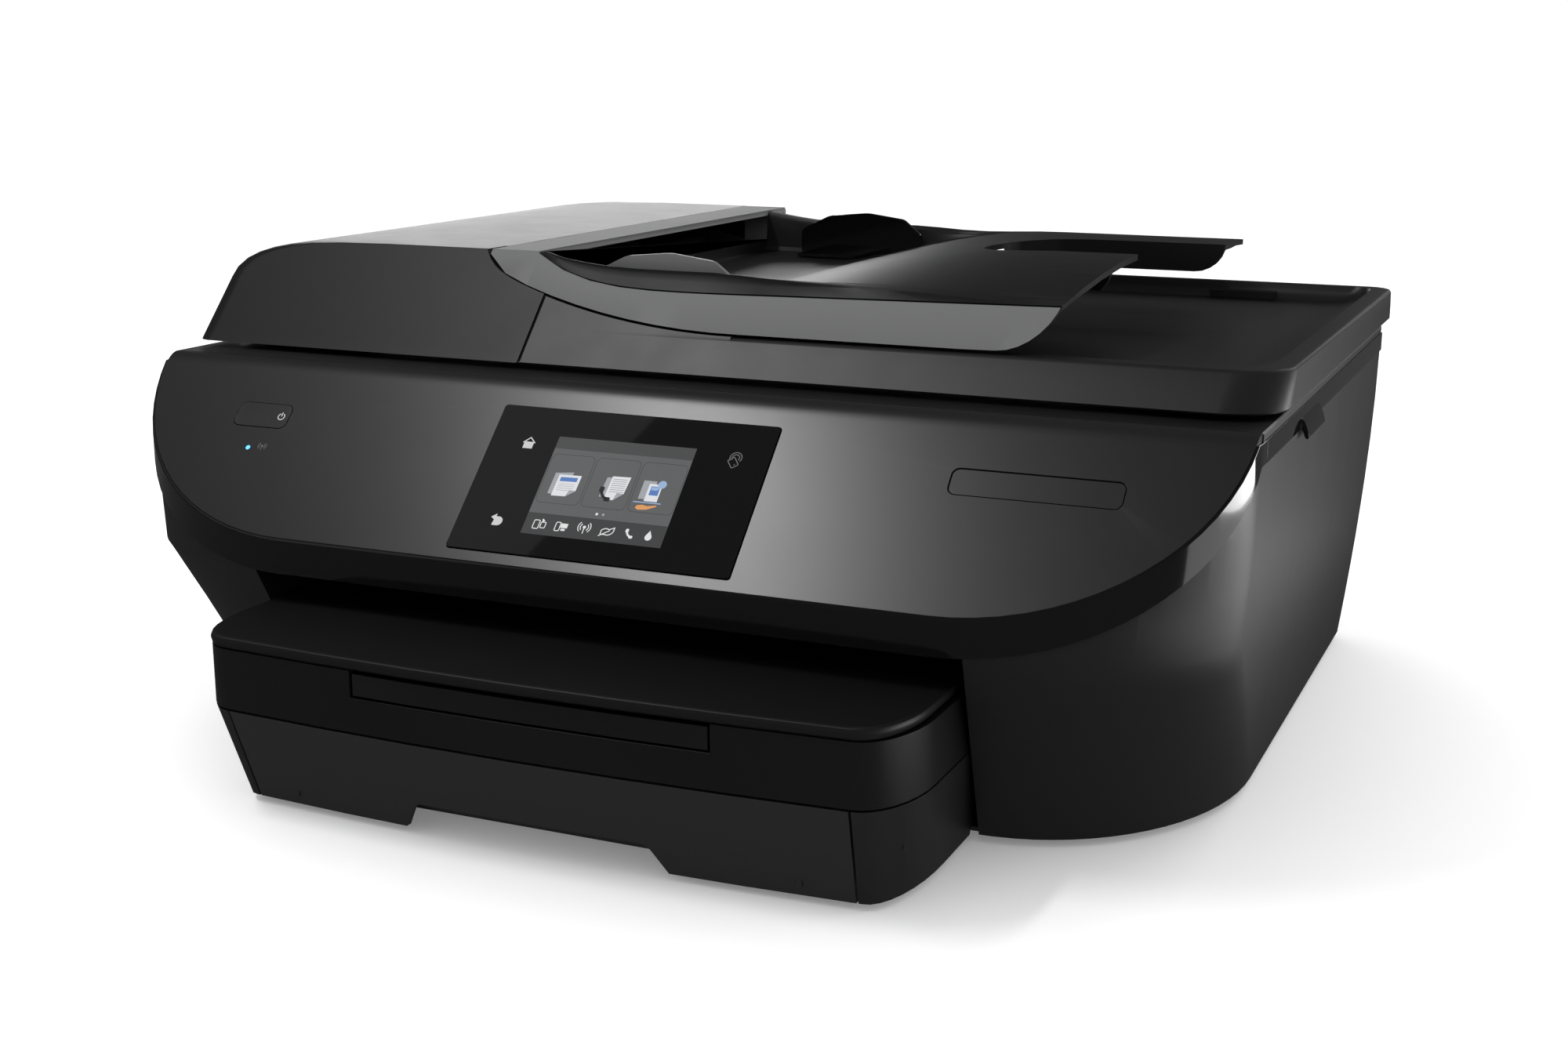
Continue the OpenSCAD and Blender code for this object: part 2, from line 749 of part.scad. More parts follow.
// Shallow upper tray: its front is the tall fascia under the output tray
module photo_tray() {
    notch = [[ext_x0 - 1, 53.2], [ext_x1 + 1, 53.2], [ext_x1 + 1, 70], [ext_x0 - 1, 70]];
    color("#191919")
    difference() {
        union() {
            difference() {
                along_z(bay_plan(50, 0, -125), 40.4, plate_low_z - 0.4);
                along_z(bay_plan(50, wall, -120), 38, 70);
            }
            block([-118, -200.5, photo_floor], [118, 4, photo_floor + 2]);
            for (s = [-1, 1])
                block([s > 0 ? 114 : -116, -150, photo_floor + 1.9], [s > 0 ? 116 : -114, 4, 51]);
            block([-118, 2, photo_floor], [118, 4, 50]);
        }
        along_y(notch, -215, -150);
        for (s = [-1, 1])
            block([s > 0 ? 22 : -100, -103, 38], [s > 0 ? 100 : -22, -97, 46]);
    }
}

module photo_guide(side) {
    color("#232324")
    mirror([side < 0 ? 1 : 0, 0, 0])
    union() {
        block([106, -150, photo_floor + 2.4], [108, -60, 50.6]);
        block([80, -112, photo_floor + 2.4], [106.1, -88, photo_floor + 4]);
        block([82, -102.6, photo_floor + 0.3], [96, -97.4, photo_floor + 2.5]);
    }
}

module photo_guide_left() {
    photo_guide(-1);
}

module photo_guide_right() {
    photo_guide(1);
}

stop_y = -176;                              // hinge line of the flip-up stop
stop_z = 59.6;
stop_x0 = -22;
stop_x1 = 31;

module tray_extender() {
    mid = (stop_x0 + stop_x1) / 2;
    color("#171717")
    difference() {
        union() {
            block([ext_x0, -200, ext_low], [ext_x1, 36, ext_low + 2]);
            for (s = [0, 1])
                block([s == 0 ? ext_x0 : ext_x1 - 2.4, -200, ext_low], [s == 0 ? ext_x0 + 2.4 : ext_x1, 36, ext_top - 0.6]);
            for (x = [stop_x0 - 3.6, stop_x1 + 0.6])
                block([x, -190, ext_low + 1.9], [x + 3, 36, ext_top - 0.4]);
            // Front lip, bowed like the fascia it closes
            intersection() {
                along_z(tray_plan(-204.6, 138.5, 32, 0, -199), ext_low, ext_top);
                block([ext_x0, -210, ext_low], [ext_x1, -198, ext_top]);
            }
            block([ext_x0, -199, ext_top - 2], [stop_x0 - 3, -150, ext_top - 0.4]);
            block([stop_x1 + 3, -199, ext_top - 2], [ext_x1, -150, ext_top - 0.4]);
            // Pin of the stop
            rod_x(stop_x0 - 3.1, stop_x1 + 3.1, stop_y, stop_z, 1);
        }
        block([mid - 40, -100, 50], [mid + 40, -40, ext_low + 3]);
    }
}

// Paper stop folded flat into the extender
module extender_stop() {
    color("#1d1d1e")
    difference() {
        union() {
            block([stop_x0, -197.6, stop_z - 1], [stop_x1, stop_y, stop_z + 1.4]);
            rod_x(stop_x0, stop_x1, stop_y, stop_z, 2);
        }
        rod_x(stop_x0 - 5, stop_x1 + 5, stop_y, stop_z, 1.06);
        block([stop_x0 + 12, -200, stop_z - 3], [stop_x1 - 12, -192, stop_z + 3]);
    }
}

// ================= Carriage =================
module carriage() {
    x0 = 129;
    x1 = 189;
    color("#2a2b2d")
    difference() {
        union() {
            // Cradle with a wall between the cartridges
            along_x([[-24, 80], [10, 80], [10, 84], [32, 84], [32, 112], [8, 112], [8, 104], [-24, 98]], x0, x1);
            rod_x(x0, x1, rod_cy, rod_cz, 7);
            // Belt clamp, sensor fork and the foot that runs under the rail's lip
            block([150, 49, 103], [168, 60, 109.4]);
            block([152, 44, 93.5], [166, 45.7, 100.1]);
            block([152, 47.1, 93.5], [166, 48.3, 100.1]);
            block([134, 31, 100], [184, 49.6, 111.4]);
        }
        for (x = cap_x)
            block([x - 10.4, -30, 82], [x + 10.4, 7, 120]);
        for (x = cap_x)
            block([x - 7, -20, 70], [x + 7, 6, 90]);
        rod_x(x0 - 1, x1 + 1, rod_cy, rod_cz, 4.05);
        block([x0 - 1, 10, 75], [x1 + 1, 11, 84]);
    }
}

module cartridge(x, tint) {
    color(tint)
    union() {
        along_x(rounded([[-22, 82.2], [6.6, 82.2], [6.6, 109], [-6, 112], [-22, 104]], [1, 1, 2, 3, 3]), x - 10, x + 10);
        block([x - 6.4, -14, 79.4], [x + 6.4, 4, 82.3]);
        block([x - 4, -25, 98], [x + 4, -21.9, 100]);
    }
}

module black_cartridge() {
    cartridge(cap_x[1], "#141414");
}

module colour_cartridge() {
    cartridge(cap_x[0], "#3c3f44");
}

// ================= Scanner unit (swings up about its back edge) =================
pan_front = -64;
pan_back = 189;
pan_half = 205;
bed_x = 150;                                // half length of the flatbed glass
bed_y0 = -58;
bed_y1 = 162;
strip_x0 = -181;                            // narrow glass that the feeder scans through
strip_x1 = -163;
scan_rod_y = 52;
scan_rod_z = 129.5;
panel_z0 = 117.8;                           // middle of the touch glass

// Places its children on the panel: x across, y up the slope, z out of the face
module on_panel() {
    translate([0, panel_z0 - panel_c, panel_z0])
        rotate([45, 0, 0])
            children();
}

module scanner_base() {
    flange_z = trim_top_z - 2.3;
    color("#1c1c1d")
    difference() {
        union() {
            difference() {
                block([-pan_half, pan_front, pan_z], [pan_half, pan_back, trim_top_z]);
                block([-pan_half + 2.4, pan_front + 2.4, pan_z + 2.4], [pan_half - 2.4, pan_back - 2.4, 160]);
            }
            // Flange and skirt round the pan
            difference() {
                intersection() {
                    along_z(band_plan(2.6), trim_low_z, trim_top_z);
                    along_x([[-98, 140], [-98, trim_top_z], [back_y + 1, trim_top_z],
                             [back_y + 1, 140], [back_y + 1, trim_low_z], [-98, trim_low_z]], -240, 240);
                }
                difference() {
                    along_z(band_plan(5), trim_low_z - 1, flange_z);
                    block([-240, -120, 100], [240, -96, 160]);
                }
                block([-pan_half + 1, pan_front + 1, 100], [pan_half - 1, pan_back - 1, 160]);
                block([-240, 190, 100], [240, 220, 143.5]);
            }
            // Hinge knuckles
            both_sides() {
                rod_x(knuckle_x[0] + 0.3, knuckle_x[1] - 0.3, door_y, door_z, 5);
                block([knuckle_x[0] + 0.3, pan_back - 0.1, 138], [knuckle_x[1] - 0.3, door_y, trim_top_z]);
            }
            // Lugs that carry the rod of the scan bar
            for (s = [-1, 1])
                block([s > 0 ? 196 : -202.7, scan_rod_y - 6, pan_z + 2.3], [s > 0 ? 202.7 : -196, scan_rod_y + 6, 134]);
            // Ribs behind the control panel
            for (x = [-190, -120, -64, 64, 120, 190])
                along_x([[-98.2, 139.4], [-98.2, 146.3], [-104, 141.4], [-126, 119.4], [-126, 117],
                         [-118, 119.6]], x - 1, x + 1);
            block([-191, -104, 139.4], [191, -96, 141.2]);
        }
        both_sides()
            for (x = [knuckle_x[0] - 4, knuckle_x[1] - 1])
                block([x, 189.6, 100], [x + 5, 200.5, 160]);
        both_sides()
            rod_x(knuckle_x[0] - 5, knuckle_x[1] + 5, door_y, door_z, 3.06);
        rod_x(-203, 203, scan_rod_y, scan_rod_z, 3.02);
        // Room for the back of the control panel
        along_x([[-180, -180 + panel_c - 3.8], [-99.7, -99.7 + panel_c - 3.8], [-93.9, trim_top_z],
                 [-93.9, 160], [-180, 160]], -240, 240);
    }
}

module scanner_top() {
    color("#161617")
    difference() {
        intersection() {
            loft([
                lift(band_plan(0.6), trim_top_z + 0.1),
                lift(band_plan(0.5), shelf_z - 0.7),
                lift(band_plan(1.2), shelf_z),
            ]);
            block([-240, -93.6, 100], [240, 300, 200]);
        }
        along_z(rounded(box_pts(-bed_x, bed_y0, bed_x, bed_y1), 2), 148.4, 160);
        along_z(rounded(box_pts(-bed_x + 3, bed_y0 + 3, bed_x - 3, bed_y1 - 3), 2), 140, 160);
        along_z(box_pts(strip_x0, bed_y0, strip_x1, bed_y1), 148.4, 160);
        along_z(box_pts(strip_x0 + 2, bed_y0 + 3, strip_x1 - 2, bed_y1 - 3), 140, 160);
    }
}

module scanner_glass() {
    color("#7f9aa0")
    union() {
        along_z(rounded(box_pts(-bed_x + 0.2, bed_y0 + 0.2, bed_x - 0.2, bed_y1 - 0.2), 2), 148.4, glass_top_z);
        block([strip_x0 + 0.2, bed_y0 + 0.2, 148.4], [strip_x1 - 0.2, bed_y1 - 0.2, glass_top_z]);
    }
}

// Contact image sensor bar that spans the glass from front to back
module scan_bar() {
    mid = (strip_x0 + strip_x1) / 2;
    color("#26282a")
    difference() {
        union() {
            block([mid - 9, bed_y0 + 2, 134], [mid + 9, bed_y1 - 2, 146.4]);
            block([mid - 5, bed_y0 + 6, 146.3], [mid + 5, bed_y1 - 6, 147.2]);
            block([mid - 14, scan_rod_y - 8, 125.2], [mid + 14, scan_rod_y + 8, 134.1]);
            for (y = [bed_y0 + 4, bed_y1 - 8])
                block([mid - 7, y, 125.2], [mid + 7, y + 4, 134.1]);
        }
        rod_x(mid - 20, mid + 20, scan_rod_y, scan_rod_z, 3.06);
        block([mid - 2, bed_y0 + 8, 145.5], [mid + 2, bed_y1 - 8, 150]);
    }
}

module scan_rod() {
    color("#c9ccd0")
        rod_x(-202.6, 202.6, scan_rod_y, scan_rod_z, 3);
}

glass_s0 = -glass_h / 2 + 1.7;
button_pts = [-176, 13.8, -151, 24.8];

module control_panel() {
    glass_cut = rounded(box_pts(-glass_w / 2 - 0.3, glass_s0 - 0.3, glass_w / 2 + 0.3, glass_s0 + glass_h + 0.3), 1.5);
    b = button_pts;
    color("#242526")
    difference() {
        intersection() {
            along_x([
                [-162, -162 + panel_c - 3.7], [-99.6, -99.6 + panel_c - 3.7], [-94, trim_top_z + 0.2],
                [-94, shelf_z], [-95.5, shelf_z - 0.1], [-97.5, shelf_z - 0.7], [-99.3, shelf_z - 1.7],
                [-101, shelf_z - 2.9], [-103, -103 + panel_c], [-162, -162 + panel_c],
            ], -240, 240);
            along_z(band_plan(1), 60, 160);
        }
        on_panel() {
            along_z(glass_cut, -8, 5);
            along_z(rounded(box_pts(b[0] - 0.3, b[1] - 0.3, b[2] + 0.3, b[3] + 0.3), 3.3), -8, 5);
            // Shallow bare field on the right of the panel
            along_z(rounded(box_pts(124, 12.4, 185, 23.6), 3), -0.3, 5);
            // Light pipe
            translate([-163.3, 3.8, -8])
                cylinder(h = 12, r = 1.1, $fn = 24);
        }
    }
}

// Gloss band that wraps the front of the panel
module gloss_band() {
    color("#050505")
    difference() {
        intersection() {
            along_z(band_plan(0), 70, 150);
            along_x([
                [-162, -162 + band_c], [trim_low_z - band_c, trim_low_z], [seam_y - 0.3, trim_low_z],
                [seam_y - 0.3, trim_top_z], [trim_top_z - panel_c + 0.2, trim_top_z],
                [-162, -162 + panel_c - 0.2],
            ], -240, 240);
        }
        along_z(band_plan(0.95), 60, 160);
    }
    color("#050505")
    difference() {
        intersection() {
            along_z(band_plan(0.94), 70, 150);
            along_x([
                [-162, -162 + band_c], [trim_low_z - band_c, trim_low_z], [seam_y - 0.3, trim_low_z],
                [seam_y - 0.3, trim_top_z - 2.2], [trim_top_z - 2.2 - panel_c + 3.9, trim_top_z - 2.2],
                [-162, -162 + panel_c - 3.9],
            ], -240, 240);
        }
        along_z(band_plan(2.5), 60, 160);
    }
}

// Gloss strip along one side of the scanner unit
module side_trim() {
    difference() {
        along_z(band_plan(0), trim_low_z, trim_top_z);
        along_z(band_plan(2.5), 100, 160);
        block([-240, -300, 100], [240, seam_y + 0.3, 160]);
        block([-240, back_y - 12, 100], [240, 300, 160]);
        block([-240, -300, 100], [0, 300, 160]);
    }
}

module side_trim_left() {
    color("#060606")
    mirror([1, 0, 0])
        side_trim();
}

// The right strip also has the finger tab that lifts the scanner unit
module side_trim_right() {
    color("#060606")
    union() {
        side_trim();
        along_y([[224.8, 143.6], [224.8, 139.4], [225.6, 138.8], [226.5, 136.3], [227.4, 135.7], [228, 136.5],
                 [227.3, 139.4], [226, 142.6]], -22, 14);
    }
}

module touch_glass() {
    color("#08090a")
    on_panel()
        along_z(rounded(box_pts(-glass_w / 2, glass_s0, glass_w / 2, glass_s0 + glass_h), 1.2), -3, 0.7);
}

module power_button() {
    b = button_pts;
    color("#242526")
    on_panel()
        union() {
            along_z(rounded(box_pts(b[0], b[1], b[2], b[3]), 3), -2.6, 0.15);
            translate([(b[0] + b[2]) / 2, (b[1] + b[3]) / 2, -5])
                cylinder(h = 2.5, r = 2, $fn = 24);
        }
}

lid_posts = [149, 165];

module lid_hinges() {
    color("#1a1a1b")
    both_sides()
    union() {
        for (x = lid_posts) {
            block([x, 196.6, shelf_z], [x + 6, 202, lid_hinge_z]);
            rod_x(x, x + 6, lid_y, lid_hinge_z, 3.4);
        }
        rod_x(lid_posts[0], lid_posts[1] + 6, lid_y, lid_hinge_z, 2.5);
    }
}

// ================= Lid =================
function lid_plan(front, side, rc, back) = mirrored(concat(
    arc(side - rc, front + rc, rc, rc, -90, 0, 8),
    arc(side - 9, back - 9, 9, 9, 0, 90, 4)));

// Lower edge of the light band: it drops from the feeder's top and runs out level
function swoosh(x) =
    let (u = max(0, 18 - x) / 122) 167.2 + 25.8 * (0.79 * u * u + 0.21 * pow(u, 20));
// Upper edge of the light band, where the feeder tray starts to roll over
function crease(x) = x > 0 ? 181 + 2 * x / 140 : 181 + 12 * pow(-x / 80, 3.5);

swoosh_x0 = -103.6;
strip_left = -101.6;                         // left edge of the strip across the feeder's top
seam_x = -69.3;                             // seam between the feeder cover and the lid

module lid_solid() {
    loft([
        lift(lid_plan(slope_y(lid_z) + 1.6, 226, 21, 205), lid_z),
        lift(lid_plan(slope_y(lid_z + 0.8), 227, 22, 206), lid_z + 0.8),
        lift(lid_plan(slope_y(159), 227, 21, 206), 159),
        lift(lid_plan(slope_y(lid_rim_z - 1.2), 226.8, 20, 206), lid_rim_z - 1.2),
        lift(lid_plan(slope_y(lid_rim_z) + 0.4, 226.2, 19, 205.6), lid_rim_z - 0.3),
        lift(lid_plan(slope_y(lid_rim_z) + 1.6, 225.2, 18, 204.8), lid_rim_z),
    ]);
}

// Shallow dish that catches the pages
module dish_solid() {
    loft([
        lift(lid_plan(-44, 200, 14, 188), 159),
        lift(lid_plan(-50, 207, 17, 194), 159.6),
        lift(lid_plan(-55, 213, 18, 198), 161.4),
        lift(lid_plan(-58, 217, 18, 200), 164),
        lift(lid_plan(-60, 219.5, 18, 201.5), 168),
    ]);
}

module lid_shell() {
    color("#1d1d1e")
    difference() {
        union() {
            difference() {
                intersection() {
                    lid_solid();
                    block([seam_x + 0.5, -100, 150], [240, 220, 170]);
                }
                difference() {
                    intersection() {
                        dish_solid();
                        block([-64, -100, 150], [240, 220, 170]);
                    }
                    // Hinge housing in the back wall of the dish
                    block([145, 193.9, 150], [175, 215, 162.8]);
                }
                block([-60, -56, 150], [214, 184, 156.4]);
            }
            // Lid front under the sweep of the feeder tray
            intersection() {
                along_y(concat(
                    [[seam_x + 0.5, 160], [18, 160]],
                    [for (i = [0:12]) let (x = 18 - i * (18 - seam_x - 0.5) / 12) [x, swoosh(x) - 0.5]]), -82, -50);
                along_x([[slope_y(150) + 0.03, 150], [slope_y(195) + 0.03, 195], [0, 195], [0, 150]], -100, 100);
            }
            // Floor under the feeder, and the beam at its back
            intersection() {
                lid_solid();
                union() {
                    block([-212, -71, lid_z], [seam_x + 0.6, 206, 155]);
                    block([-230, -48, lid_z], [-211, 206, 155]);
                    block([-230, -48, lid_z], [-224.6, 206, 156.4]);
                    block([-222, 184, lid_z], [seam_x + 0.6, 206, 166]);
                }
            }
        }
        // Room for the lid hinge posts
        both_sides()
            difference() {
                block([148, 195.9, 140], [172, 210, 161]);
                union() {
                    rod_x(155.3, 164.7, lid_y, lid_hinge_z, 4.4);
                    block([155.3, 190, 157], [164.7, lid_y, 164.5]);
                }
            }
        both_sides()
            rod_x(140, 180, lid_y, lid_hinge_z, 2.56);
        along_x([[199, 150], [210, 150], [210, 158]], -240, 240);
    }
}

// White foam-backed pad that presses the page on the glass
module lid_backing() {
    color("#e8e8e6")
    union() {
        block([-48, -54, 153], [152, 158, 156.4]);
        block([-152, -60, 150.9], [152, 160, 152.4]);
        block([-48, -54, 152.3], [152, 158, 153.1]);
    }
}

// ================= Feeder =================
drum_x = -168;
drum_z = 173;
pick_x = -112;
pick_z = 177;

module feeder_base() {
    color("#18181a")
    difference() {
        union() {
            block([-216, -66, 155], [-76, 183.8, 157]);
            for (y = [-46, 172])
                along_y(rounded([[-205, 156], [-84, 156], [-84, 178], [-104, 183], [-182, 183], [-205, 172]],
                                [0, 0, 4, 6, 8, 4]), y, y + 3);
            // Curved guide that turns the page round the drum
            along_y(concat(
                arc(drum_x, drum_z, 17.5, 17.5, 130, 262, 16),
                arc(drum_x, drum_z, 15.5, 15.5, 262, 130, 16)), -43.1, 172.1);
            // Ramp down to the dish
            along_y([[-150, 156.9], [-150, 158.5], [-86, 161.5], [-76, 160], [-76, 156.9]], -43.1, 172.1);
            // Posts of the cover's hinge pin, and the pin
            for (y = [-44, 168])
                block([cover_x - 1.2, y, 156.9], [cover_x + 5, y + 4, cover_z + 2.2]);
            for (y = [-44, 168])
                block([cover_x - 1.2, y, 156.9], [-206, y + 4, 158.9]);
            rod_y(-44, 172, cover_x, cover_z, 1.5);
        }
        for (p = [[drum_x, drum_z], [pick_x, pick_z]])
            rod_y(-70, 190, p.x, p.y, 3.06);
    }
}

module feeder_drum() {
    color("#3a3b3c")
    union() {
        rod_y(-48, 178, drum_x, drum_z, 3);
        for (y = [-30, 20, 70, 120])
            rod_y(y, y + 24, drum_x, drum_z, 12);
    }
}

module feeder_pick_roller() {
    color("#46484a")
    union() {
        rod_y(-48, 178, pick_x, pick_z, 3);
        rod_y(40, 96, pick_x, pick_z, 8);
    }
}

function cover_left(z) =
    z <= 177 ? -228 : -159 - 69 * pow(1 - pow(min(1, (z - 177) / (feeder_top_z - 177)), 2.7), 1 / 2.7);
function cover_plan(z, d) =
    let (x = cover_left(z) + d, f = slope_y(z) + 1.36 * d, rc = 9 - d, rb = 10 - d)
    concat(
        arc(x + rc, f + rc, rc, rc, 180, 270, 8),
        [[-60, f], [-60, 206 - d]],
        arc(x + rb, 206 - d - rb, rb, rb, 90, 180, 4));

module feeder_cover() {
    top = feeder_top_z;
    levels = [153, 158, 166, 177, 181, 184.5, 187, 189, 190.6, 191.8, 192.6, top];
    curve = [for (i = [0:10]) let (x = swoosh_x0 + (seam_x - swoosh_x0) * i / 10) [x, swoosh(x)]];
    color("#1f1f20")
    difference() {
        union() {
            difference() {
                loft([for (z = levels) lift(cover_plan(z, 0), z)]);
                loft([for (z = [150, 158, 166, 174.5, 178.5, 182, 184.6, 186.6, 188.2, 189.4, top - wall])
                    lift(cover_plan(z + wall, 1.2 + 1.4 * (top - z) / 40), z)]);
            }
            // Stiffening ribs under the top
            for (y = [0, 60, 120])
                block([-160, y, 188], [-116, y + 1.6, top - 1]);
        }
        // Right edge: straight across the top, then down the sweep and the seam
        along_y(concat([[-50, 150], [seam_x, 150]], [for (i = [10:-1:0]) curve[i]],
                       [[strip_left, top + 1], [-50, top + 1]]), -100, -30);
        block([strip_left, -30.1, 140], [-50, 220, top + 1]);
        // Clear of the hinge posts, the lid's left edge and the beam at the back
        for (y = [-44, 168])
            block([-240, y - 1.5, 140], [cover_x, y + 5.5, cover_z + 1.6]);
        block([-240, -50, 140], [cover_x, 220, 158.6]);
        block([-240, 180, 140], [-50, 220, 166.5]);
    }
    color("#1f1f20")
    difference() {
        union()
            for (y = [-34, 150])
                hull() {
                    rod_y(y, y + 14, cover_x, cover_z, 3.3);
                    block([-226, y, cover_z + 7], [-225, y + 14, cover_z + 8]);
                }
        for (y = [-34, 150])
            rod_y(y - 5, y + 19, cover_x, cover_z, 1.56);
    }
}

tray_x1 = 168;
well_mid = (well_lo + well_hi) / 2 + 12;    // middle of the finger notch
function tray_w(x) = smooth((x - 20) / 100);
function floor_z(x) = 192 - 18.5 * pow(1 - min(1, max(0, (x + 15) / 130)), 2);
function arch(x, y) = floor_z(x) - 9 * tray_w(x) * pow(max(0, abs(y - well_mid) - 27) / 107, 2);

// Section of the feeder tray at x, front to back: [y, z, offset of the underside in y, in z]
function tray_rows(x) =
    let (
        t = smooth(x / 75),
        zb = swoosh(x) + 0.5,
        zc = crease(x),
        zf = floor_z(x),
        zr = max(188, zf + 0.4) + 4.6 * pow(max(0, -30 - x) / 49, 2),
        yc = slope_y(zc + 0.2),
        yi = max(well_lo, yc + 5.8),
        step = 1.05,
        back = well_hi
    )
    concat(
        [[slope_y(zb) + step, zb, 2.3, 0]],
        [for (z = [(zb + zc) / 2, zc]) [slope_y(z) + step, z, 1.7, -1.6]],
        [[yc, zc + 0.2, 2.7, -1.7]],
        // Front rim: a tight roll on the left that opens into the wing on the right
        [for (p = [[0.3, 0.5, 1.5, -1.8], [0.5, 0.82, 0.6, -2.2], [0.72, 1, -0.6, -2.4], [0.9, 0.97, -1.62, -2.5],
                   [1, 0.75, -2.2, -2.6]])
            let (y = mix(yc, yi, p[0]))
                [y, mix(mix(zc, zr, p[1]), arch(x, y), t), mix(p[2], 0, t), mix(p[3], -2.4, t)]],
        [for (p = [[0.3, 0.4, -2.2, -1.6], [0.8, 0.1, -2.2, -2.4], [3.2, 0, -2.2, -2.5]])
            [yi + p[0], mix(mix(zf, zr, p[1]), arch(x, yi + p[0]), t), mix(p[2], 0, t), mix(p[3], -2.4, t)]],
        [for (y = [-25, 0, 30, 55, 82, 110, 140, 165]) [y, mix(zf, arch(x, y), t), 0, -2.4]],
        // Back rim
        [for (p = [[-3, 0, 0.6, -2.3], [-1, 0.1, 2.2, -1.4], [0, 0.5, 2.2, -0.8], [0.6, 0.85, 1.7, -1.6],
                   [2.4, 1, 0.2, -2.4], [5.5, 1, 0, -2.4], [8, 0.85, -0.9, -2.4]])
            [back + p[0], mix(mix(zf, zr, p[1]), arch(x, back + p[0]), t), mix(p[2], 0, t), mix(p[3], -2.4, t)]],
        [[back + 10, mix(178, arch(x, back + 10) - 1, t), mix(-2.4, 0, t), mix(0, -2.2, t)]]);

function tray_ring(x) =
    let (r = tray_rows(x), n = len(r))
    stand(x, concat(
        [for (i = [n - 1:-1:0]) [r[i][0], r[i][1]]],
        [for (i = [0:n - 1]) [r[i][0] + r[i][2], r[i][1] + r[i][3]]]));

notch_y0 = well_mid - 27;
notch_y1 = well_mid + 28;
notch_x = 98;                               // centre of the notch's round end

// Plan of the finger notch, grown by d
function notch_plan(d) = concat(
    [[240, notch_y0 - d], [240, notch_y1 + d]],
    arc(notch_x, (notch_y0 + notch_y1) / 2, 27.5 + d, 27.5 + d, 90, 270, 16));

module feeder_tray() {
    xs = [-78.8, -70, -62, -54, -46, -36, -24, -12, 0, 12, 24, 36, 48, 62, 76, 92, 108, 124, 140, 156, tray_x1];
    color("#151516")
    difference() {
        union() {
            loft([for (x = xs) tray_ring(x)]);
            // Wall that hangs from the edge of the finger notch
            intersection() {
                difference() {
                    along_z(notch_plan(2.2), 174, 195);
                    along_z(notch_plan(0), 160, 200);
                }
                union() {
                    block([61, 50, 170], [133.7, 80.7, 200]);
                    block([61, 80.6, 180], [tray_x1 - 0.2, 115.3, 200]);
                }
                along_y([[74, 186], [96, 178], [240, 172], [240, 190.8], [98, 190.8], [74, 189.2]], 40, 130);
            }
        }
        along_z(notch_plan(0), 160, 200);
        // Round ends of the two wings
        along_y(concat([[200, 160], [200, 200], [143.5, 200]], corner([143.5, 200], [143.5, 168], [100, 166.4], 22, 8),
                       [[100, 160]]), -100, notch_y0 + 1);
        along_z(concat([[200, 300], [60, 300]], corner([60, 186.4], [162, 190], [170, 105], 24, 8),
                       [[170, 90], [200, 90]]), 150, 200);
        along_y(concat([[134, 150], [200, 150], [200, 200]], corner([tray_x1, 200], [tray_x1, 180], [100, 180], 13, 6),
                       [[134, 180]]), 90, 250);
        along_y(concat([[150, 160], [150, 190]], corner([134, 190], [134, 173], [100, 173], 15, 6),
                       [[112, 160]]), 49, 70);
    }
}

// Light trim: a flat strip across the feeder's top that sweeps down the front as a band
module feeder_accent() {
    top = feeder_top_z;
    x0 = strip_left + 0.4;
    x1 = -79;
    end = 143.2;
    n = 16;
    low = [for (i = [0:n]) let (x = mix(swoosh_x0 + 0.4, 96, i / n)) [x, swoosh(x) + 0.4]];
    high = [for (i = [n:-1:0]) let (x = mix(x1, end, i / n)) [x, crease(x) - 0.4]];
    color("#8a8c8e")
    union() {
        // Strip: top and back wall
        along_x([
            [-30, top], [204.6, top], [206, top - 1.4], [206, 166.6], [203.4, 166.6], [203.4, top - wall],
            [-30, top - wall],
        ], x0, x1);
        // Front of the strip, and the band down the slope
        intersection() {
            union() {
                along_x([[slope_y(160), 160], [slope_y(top), top], [-29.9, top], [-29.9, top - wall],
                         [slope_y(top) + 1, top - wall], [slope_y(160) + 3, 160]], x0, x1);
                along_x([[slope_y(160), 160], [slope_y(top - 0.3), top - 0.3], [slope_y(top - 0.3) + 0.9, top - 0.3],
                         [slope_y(160) + 0.9, 160]], x1 - 0.6, end + 1);
            }
            along_y(concat([[x0 - 4, 200]], low, [[110, swoosh(110) + 0.4]],
                           corner([100, swoosh(110) + 0.4], [end, 168], [end, 200], 21, 8), [[end, 200]]),
                    -100, -10);
            along_y(concat([[x0 - 4, 150], [end + 2, 150], [end + 2, crease(end) - 0.4]], high,
                           [[x1, 200], [x0 - 4, 200]]), -101, -9);
        }
    }
}

// Fence of the feeder's page guides, with its foot on the tray
module feeder_guide(y, way) {
    fence = rounded([[-57, 174.2], [-16, 174.2], [-8, 176.1], [0, 178.3], [7, 180.3], [6, 184.5], [-3, 191.5],
                     [-22, 194], [-42, 192.2], [-57, 185]], [0, 0, 0, 0, 0.8, 1.5, 5, 20, 12, 4]);
    color("#3a3b3d")
    union() {
        along_y(fence, min(y, y + 2 * way), max(y, y + 2 * way));
        along_z(rounded([[-50, min(y, y + 26 * way)], [-18, min(y, y + 26 * way)], [-18, max(y, y + 26 * way)],
                         [-50, max(y, y + 26 * way)]], 3), 174.1, 175.5);
    }
}

module feeder_guide_front() {
    feeder_guide(well_lo + 4.2, 1);
}

module feeder_guide_back() {
    feeder_guide(well_hi - 4.2, -1);
}

